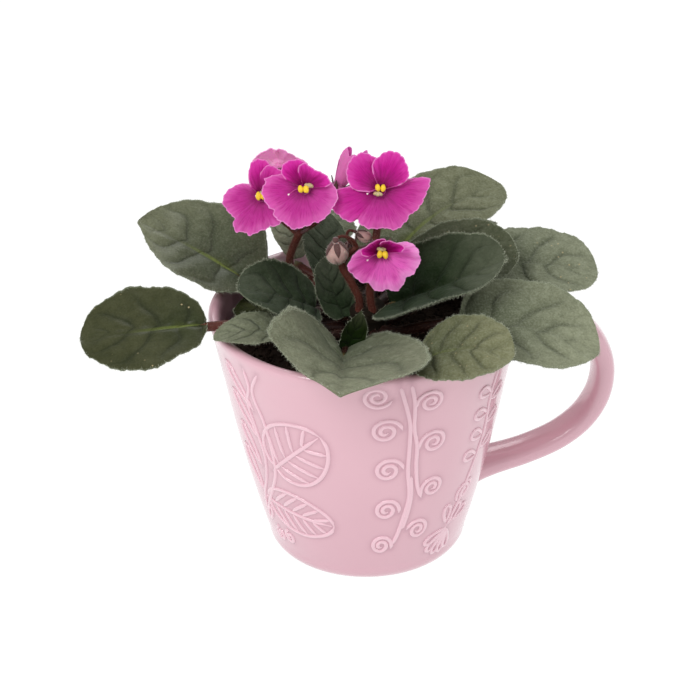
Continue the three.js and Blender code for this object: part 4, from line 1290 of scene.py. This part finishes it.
def make_petiole(name, leaf, seed):
    """The stem of a leaf from the crown to its base, and the midrib under a larger blade."""
    base, u, s, n, length = leaf_frame(leaf.base, leaf.tip, leaf.roll)
    turn, height = leaf.root
    a = math.radians(turn)
    out = np.array([math.cos(a), math.sin(a), 0])
    root = out * (CROWN_RADIUS - 1.5) + np.array([0, 0, height])
    end = base + u - (leaf.stem + 0.5) * n
    reach = np.linalg.norm(end - root)
    leave = unit(out + np.array([0, 0, 0.15]))
    line = bezier(root, root + 0.4 * reach * leave, end - 0.35 * reach * u, end, 36)
    share = 0.9
    if leaf.width > LEAST_RIBBED:
        rib_t = np.linspace(0.1, 0.93, 30)
        rib, _ = blade_grid(name, leaf, rib_t, np.zeros(30), seed)
        rib = rib - n * (0.25 + leaf.stem * 0.92 * (1 - 0.85 * rib_t))[:, None]
        line = np.concatenate([line, rib])
        share = reach / (reach + 0.83 * length)
    rows, sides = PETIOLE_ROWS, PETIOLE_SIDES
    run = np.linspace(0, 1, rows)
    radius = leaf.stem * (1.12 - 0.2 * np.clip(run / share, 0, 1))
    radius *= 1 - 0.85 * np.clip((run - share) / (1 - share), 0, 1)
    fresh = smooth(share - 0.06, share + 0.03, np.r_[np.repeat(run, sides), 0, 1])
    shape = add_tube(Shape(), with_plant(evenly(line, rows)), radius, sides=sides, downy=1,
                     dim=PETIOLE_SHADE.get(name, USUAL_SHADE), fresh=fresh)
    stem = piece(f"leaf_{name}_petiole", shape, f"leaf_{name}", "stalk", STALK)
    scattered(f"leaf_{name}_petiole_down", stem, "petiole", seed)


# Blooms


def bloom_frame(middle, faces):
    """Middle of a bloom, the way it faces, and what is up and right on its face."""
    n = unit(faces)
    up = unit(np.array([0, 0, 1.0]) - n * n[2])
    return np.array(middle, float), n, up, np.cross(up, n)


def add_fan(shape, frame, fan, seed):
    """Petals grown together: a thin sheet from the throat to a rim that follows the outline."""
    middle, n, up, right = frame
    layer, lift, seams, rich, outline = fan
    corners = []
    for turn, reach, *height in outline:
        a = math.radians(turn)
        corners.append((reach * math.sin(a), reach * math.cos(a), height[0] if height else lift))
    run = sum(math.dist(a, b) for a, b in zip(corners, corners[1:]))
    columns = int(run / RIM_STEP)
    rim = smooth_line(corners, columns + 1)
    s = np.linspace(0, run, columns + 1)
    p = np.random.default_rng(seed).uniform(0, 2 * math.pi, 6)

    def ripple(length, phase):
        return np.sin(2 * math.pi * s / length + phase)

    turn = np.unwrap(np.arctan2(rim[:, 0], rim[:, 1]))
    turn += 2 * math.pi * round((math.radians(outline[0][0]) - turn[0]) / (2 * math.pi))
    reach = np.hypot(rim[:, 0], rim[:, 1])
    reach = reach * (1 + 0.012 * ripple(2.7, p[0]) + 0.008 * ripple(1.3, p[1]))
    t = 1 - (1 - np.linspace(0, 1, FAN_ROWS + 1)[:, None]) ** 1.5
    far = PETAL_START + (reach - PETAL_START) * t ** (1 - 0.3 * np.clip(rim[:, 2] / 10, 0, 1))

    # Height over the throat: a dip at the throat, loose waves and a rim that rolls back
    z = LAYER_STEP * layer + rim[:, 2] * t ** (1.5 - 0.5 * np.clip(rim[:, 2] / 8, 0, 1))
    z = z - 0.8 * (1 - smooth(0, 0.25, t))
    loose = np.clip(reach / 13, 0.4, 1) * (1 if lift else 0.5)
    z += loose * t ** 2.2 * (0.42 * ripple(9.5, p[2]) + 0.26 * ripple(4.3, p[3]))
    z += loose * t ** 5 * 0.13 * ripple(2.1, p[4])
    z -= 0.5 * loose * smooth(0.72, 1, t) ** 2
    z += 0.3 * np.exp(-np.minimum(s, run - s) / 1.5) * t

    # At a seam the next petal lies over or under, and its colour may differ
    deg = np.degrees(turn)
    tone = np.full(columns + 1, float(rich[0]))
    for k, seam in enumerate(seams):
        z += (0.5 if k % 2 == 0 else -0.5) * smooth(-2.5, 2.5, deg - seam) * smooth(0.3, 0.9, t)
        z -= 0.12 * np.exp(-((deg - seam) / 3) ** 2) * smooth(0.2, 0.8, t)
        tone += (rich[k + 1] - rich[k]) * smooth(-7, 7, deg - seam)

    flat = np.stack([far * np.sin(turn), far * np.cos(turn), np.broadcast_to(z, far.shape)],
                    axis=-1)
    gaps = np.linalg.norm(flat.reshape(-1, 3)[:, None] - flat[-1][None], axis=2)
    edge = np.min(gaps, axis=1).reshape(far.shape)
    face = unit(np.cross(np.gradient(flat, axis=0), np.gradient(flat, axis=1))
                + np.array([0, 0, 1e-6]))
    if face[FAN_ROWS // 2, columns // 2] @ (0, 0, 1) < 0:
        face = -face
    body = PETAL_THICKNESS * (1 - 0.55 * t) * np.ones_like(far)
    top, low = ((flat + side * face * body[..., None] / 2) @ np.array([right, up, n]) + middle
                for side in (1, -1))
    add_sheet(shape, sheet_grid(FAN_ROWS, columns, False), with_plant(top), with_plant(low),
              turn=turn + 0.7 * seed, along=t, rich=tone, rim=edge, far=far)


def add_ball(shape, at, radii, axes, bulge=0.0, seed=0, **marks):
    """A closed lump: an egg shape with a few soft bulges."""
    turn = np.linspace(-math.pi / 2, math.pi / 2, 18)
    outline = np.c_[np.cos(turn), np.sin(turn)]
    outline[0, 0] = outline[-1, 0] = 0
    add_turned(shape, outline, 22, None, **marks)
    p = shape.points[-1]
    q = p * (1 + bulge * (lumps(p[:, 0], p[:, 1] + p[:, 2], 2.2, seed)[:, None]
                          + 0.6 * lumps(p[:, 2], p[:, 0] - p[:, 1], 4.5, seed + 1)[:, None]))
    shape.points[-1] = at + (q * np.asarray(radii)) @ np.asarray(axes)


def make_bloom(number, bloom):
    middle, faces, style, anthers, filaments, fans = bloom
    frame = bloom_frame(middle, faces)
    middle, n, up, right = frame
    name, node = f"bloom_{number}", f"bloom_{number}_stamens"

    def at(x, y, z):
        return with_plant(middle + x * right + y * up + z * n)

    shape = Shape()
    for k, fan in enumerate(fans):
        add_fan(shape, frame, fan, 11 * number + k)
    pale = np.r_[np.repeat([1, 1, 1, 0.5, 0], THROAT_SIDES), 1, 0]
    add_turned(shape, THROAT, THROAT_SIDES, plant_axis(middle, right, n),
               along=0, turn=1, rich=1 - 0.6 * pale, rim=4, far=0, under=pale)
    piece(f"{name}_corolla", shape, f"{name}_petals", "petal", PETAL)

    # A pair of anthers, side by side and leaning a little
    rng = np.random.default_rng(number)
    shape = Shape()
    for sign in (-1, 1):
        lean = rng.uniform(-0.25, 0.25)
        size = rng.uniform(0.88, 1.08)
        along = up * math.cos(lean) + right * math.sin(lean)
        axes = with_plant(np.array([np.cross(along, n), n, along]))
        place = at(anthers[0] + 0.86 * sign, anthers[1] + rng.uniform(-0.2, 0.2),
                   ANTHER_LIFT + 0.9)
        add_ball(shape, place, (0.92 * size, 0.85, ANTHER_LENGTH / 2 * size), axes, 0.16,
                 number * 3 + sign)
    piece(f"{name}_anthers", shape, node, "anther", ANTHER)

    # Pale filaments under them, and the style that bows away to one side
    shape = Shape()
    axes = with_plant(np.array([right, up, n]))
    for dx, dy, radius in ((0, 0, 1), (0.8, -0.15, 0.7), (-0.75, 0.1, 0.75)):
        place = at(filaments[0] + dx, filaments[1] + dy, ANTHER_LIFT + 0.35 + 0.2 * dy)
        add_ball(shape, place, (radius, radius * 0.85, 0.8), axes, 0.22, number + int(5 * radius),
                 along=0)
    bow = [at(*anthers, ANTHER_LIFT),
           at(style[0] * 0.5, style[1] * 0.4 + 0.5, ANTHER_LIFT + 0.9), at(*style)]
    thickness = 0.1 + 0.18 * smooth(0.9, 0.96, np.linspace(0, 1, 24))
    add_tube(shape, smooth_line(bow, 24), thickness, sides=10)
    piece(f"{name}_pistil", shape, node, "anther", OVARY)


# Stalks and buds. Sepals and bracts lie on one small grid, from base (0) to tip (1) and from
# side to side (-1 to 1), and thin out to their sides.
SEPAL_GRID = sheet_grid(SEPAL_ROWS, SEPAL_COLUMNS)
SEPAL_T, SEPAL_V = np.meshgrid(np.linspace(0, 1, SEPAL_ROWS + 1),
                               np.linspace(-1, 1, SEPAL_COLUMNS + 1), indexing="ij")
SEPAL_EDGE = np.sqrt(np.clip(1 - SEPAL_V ** 4, 0, 1))


def add_small_leaf(shape, top, thickness, face):
    """Adds a sepal or bract from its upper face, and the way that this faces."""
    low = top - (thickness * SEPAL_EDGE)[..., None] * face
    add_sheet(shape, SEPAL_GRID, with_plant(top), with_plant(low), downy=1)


def add_sepals(shape, frame, seat, spread):
    """Five narrow sepals in a star behind a bloom, spread from its axis by an angle in degrees."""
    middle, n, up, right = frame
    t, v, spread = SEPAL_T, SEPAL_V, math.radians(spread)
    for i in range(5):
        a = 2 * math.pi * (i + 0.5) / 5
        level = up * math.cos(a) + right * math.sin(a)
        s = np.cross(level, n)
        out = level * math.cos(spread) + n * math.sin(spread)
        face = np.cross(s, out)
        half = SEPAL_HALF * np.sin(np.pi * (0.22 + 0.78 * t) ** 0.8)
        bow = 0.3 * np.sin(np.pi * t * 0.8) - 0.25 * v * v * SEPAL_HALF
        top = (middle + n * seat + (0.6 + SEPAL_LENGTH * t)[..., None] * out
               + (half * v)[..., None] * s + bow[..., None] * face)
        add_small_leaf(shape, top, 0.5 * (1 - 0.5 * t), face)


def bud_frame(bud):
    """Middle of a bud, the way its tip points, and two directions across it."""
    n = unit(bud.points)
    up = unit(np.array([0, -1.0, 0]) + n * n[1])
    return np.array(bud.middle, float), n, up, np.cross(up, n)


def make_stalk(number, stalk):
    stem, blooms, buds = stalk
    node = f"flower_stalk_{number}"
    shape, leafy = Shape(), Shape()
    run = np.linspace(0, 1, 90)
    swell = 1 + 0.12 * np.exp(-((1 - run) / 0.05) ** 2) + 0.15 * np.exp(-run / 0.08)
    if not blooms:
        swell = swell * (1 - 0.35 * smooth(0.7, 1, run))
    add_tube(shape, with_plant(smooth_line(stem, 90)), STALK_RADIUS * swell, sides=18, downy=1)
    fork, before = np.array(stem[-1], float), np.array(stem[-2], float)
    start = fork + 0.1 * (before - fork)

    def add_pedicel(points, radii):
        add_tube(shape, with_plant(smooth_line(points, 60)), radii, sides=14, downy=1)

    for index, waypoint in blooms:
        frame = middle, n, up, right = bloom_frame(*BLOOMS[index][:2])
        seat = -THROAT_DEPTH - 0.65
        ends = [middle + n * (seat - d) for d in (3.5, 0.2)]
        add_pedicel([start, waypoint, *ends], np.linspace(1.0, 0.85, 60) * PEDICEL_RADIUS)
        add_turned(leafy, BLOOM_CUP, 20, plant_axis(middle + n * seat, right, n), downy=1)
        add_sepals(leafy, frame, seat, CLASPED_SPREAD if index == CLASPED else OPEN_SPREAD)
    for index in buds:
        bud = BUDS[index]
        middle, n, up, right = bud_frame(bud)
        seat = -bud.length / 2 - 0.5
        radius = min(0.8 * PEDICEL_RADIUS, bud.radius * 0.4)
        add_pedicel([*bud.pedicel, middle + n * (seat - 0.3)], np.linspace(1, 0.75, 60) * radius)
        cup = [(bud.radius * share, z) for share, z in BUD_CUP]
        add_turned(leafy, cup, 20, plant_axis(middle + n * seat, right, n), downy=1)
        wrap_bud(leafy, bud)
    add_bracts(leafy, fork, unit(fork - before))
    made = piece(f"{node}_stem", shape, node, "stalk", STALK)
    scattered(f"{node}_stem_down", made, "stem", number)
    made = piece(f"{node}_sepals", leafy, node, "stalk", SEPAL)
    scattered(f"{node}_sepal_down", made, "sepal", number)


def add_bracts(shape, fork, along):
    """Two small bracts where a stalk forks."""
    t, v = SEPAL_T, SEPAL_V
    side = unit(np.cross(along, (0.2, 1, 0.1)))
    for sign in (1, -1):
        out = unit(side * sign + along * 0.9)
        s = unit(np.cross(out, along))
        face = np.cross(s, out)
        half = 0.8 * np.sin(np.pi * (0.2 + 0.8 * t) ** 0.9)
        top = (fork + out * 0.4 + (4.2 * t)[..., None] * out + (half * v)[..., None] * s
               + (0.9 * t * t - 0.3 * v * v)[..., None] * face)
        add_small_leaf(shape, top, 0.45, face)


def bud_radius(bud, x):
    """Radius of a bud at a height along it, from -1 at its stalk to 1 at its tip."""
    round_end = np.sqrt(np.clip(1 - np.abs(x) ** 2.4, 0, 1))
    return bud.radius * round_end * (0.97 + 0.16 * x - 0.1 * x * x)


def wrap_bud(shape, bud):
    """Five sepals that lie on the lower half of a closed bud."""
    middle, n, up, right = bud_frame(bud)
    t, v = SEPAL_T, SEPAL_V
    x = -0.97 + 1.05 * t
    r = bud_radius(bud, x) + 0.22
    half = 0.3 * bud.radius * np.sin(np.pi * (0.25 + 0.75 * t) ** 0.9)
    around = half * v / np.maximum(r, 0.3)
    for i in range(5):
        a = 2 * math.pi * (i + 0.1) / 5
        level = up * math.cos(a) + right * math.sin(a)
        way = level * np.cos(around)[..., None] + np.cross(level, n) * np.sin(around)[..., None]
        top = (middle + n * (x * bud.length / 2)[..., None]
               + way * (r + 0.12 * (1 - v * v))[..., None])
        add_small_leaf(shape, top, 0.4, way)


def make_bud(number, bud):
    """A closed bud with five creases between its folded petals."""
    middle, n, up, right = bud_frame(bud)
    x = np.linspace(-1, 1, BUD_ROWS)
    outline = np.c_[bud_radius(bud, x), x * bud.length / 2]
    outline[0, 0] = outline[-1, 0] = 0
    axis = plant_axis(middle, right, n)
    shape = add_turned(Shape(), outline, BUD_SIDES, axis, downy=1)
    p = shape.points[0]
    turn = np.tile(np.linspace(0, 1, BUD_SIDES, endpoint=False), BUD_ROWS - 2)
    height = np.repeat(x[1:-1], BUD_SIDES)
    crease = np.exp(-(np.abs((turn * 5 + 0.3 * height) % 1 - 0.5) / 0.09) ** 2)
    crease = crease * smooth(-0.2, 0.5, height)
    centre = axis[0] + np.outer(height * bud.length / 2, axis[3])
    p[:-2] = centre + (p[:-2] - centre) * (1 - 0.13 * crease)[:, None]
    shape.marks[0]["fold"] = np.r_[crease, 0, 1]
    made = piece(f"bud_{number}_petals", shape, f"bud_{number}", "bud", BUD)
    scattered(f"bud_{number}_down", made, "bud", number)


# Stage


def make_stage():
    mesh = bpy.data.meshes.new("floor")
    corners = [(x * FLOOR_REACH, y * FLOOR_REACH, 0)
               for x, y in ((-1, -1), (1, -1), (1, 1), (-1, 1))]
    mesh.from_pydata(corners, [], [(0, 1, 2, 3)])
    mesh.materials.append(Finish("white_table").surface(
        Base_Color=(0.08, 0.08, 0.08, 1), Roughness=0.9, Specular_IOR_Level=0.1,
        Emission_Color=WHITE, Emission_Strength=1.0))
    floor = in_scene("floor", mesh)

    world = bpy.data.worlds.new("soft_room")
    bpy.context.scene.world = world
    world.use_nodes = True
    room = world.node_tree.nodes["Background"].inputs
    room["Color"].default_value = WHITE
    room["Strength"].default_value = ROOM_LIGHT

    for name, place, size, power in LAMPS:
        lamp = bpy.data.lights.new(name, "AREA")
        lamp.shape, lamp.size, lamp.energy = "SQUARE", size, power
        holder = in_scene(name, lamp)
        holder.location = place
        holder.rotation_mode = "QUATERNION"
        holder.rotation_quaternion = (Vector(place) - Vector(LIT_POINT)).to_track_quat("Z", "Y")


def make_camera():
    back = np.array([0, -math.cos(VIEW_ELEVATION), math.sin(VIEW_ELEVATION)])
    level = np.array([1.0, 0, 0])
    right = math.cos(VIEW_ROLL) * level + math.sin(VIEW_ROLL) * np.cross(back, level)
    up = np.cross(back, right)
    eye = with_plant(np.array(VIEW_TARGET) + back * VIEW_DISTANCE) * MM
    axes = [with_plant(v) for v in (right, up, back)]
    lens = bpy.data.cameras.new("camera")
    lens.lens, lens.sensor_width = LENS, SENSOR_WIDTH
    lens.clip_start, lens.clip_end = 0.05, 100
    camera = in_scene("camera", lens)
    camera.matrix_world = Matrix([*(row for row in np.c_[np.array(axes).T, eye]), (0, 0, 0, 1)])
    bpy.context.scene.camera = camera


make_camera()
make_stage()
make_mug()
make_handle()
make_soil()
make_crown()
for number, (name, row) in enumerate(LEAVES.items(), 1):
    leaf = Leaf(*row)
    make_blade(name, leaf, number)
    make_petiole(name, leaf, number)
for make, rows in ((make_bloom, BLOOMS), (make_stalk, STALKS), (make_bud, BUDS)):
    for number, row in enumerate(rows, 1):
        make(number, row)

bpy.context.scene.view_settings.view_transform = "Standard"
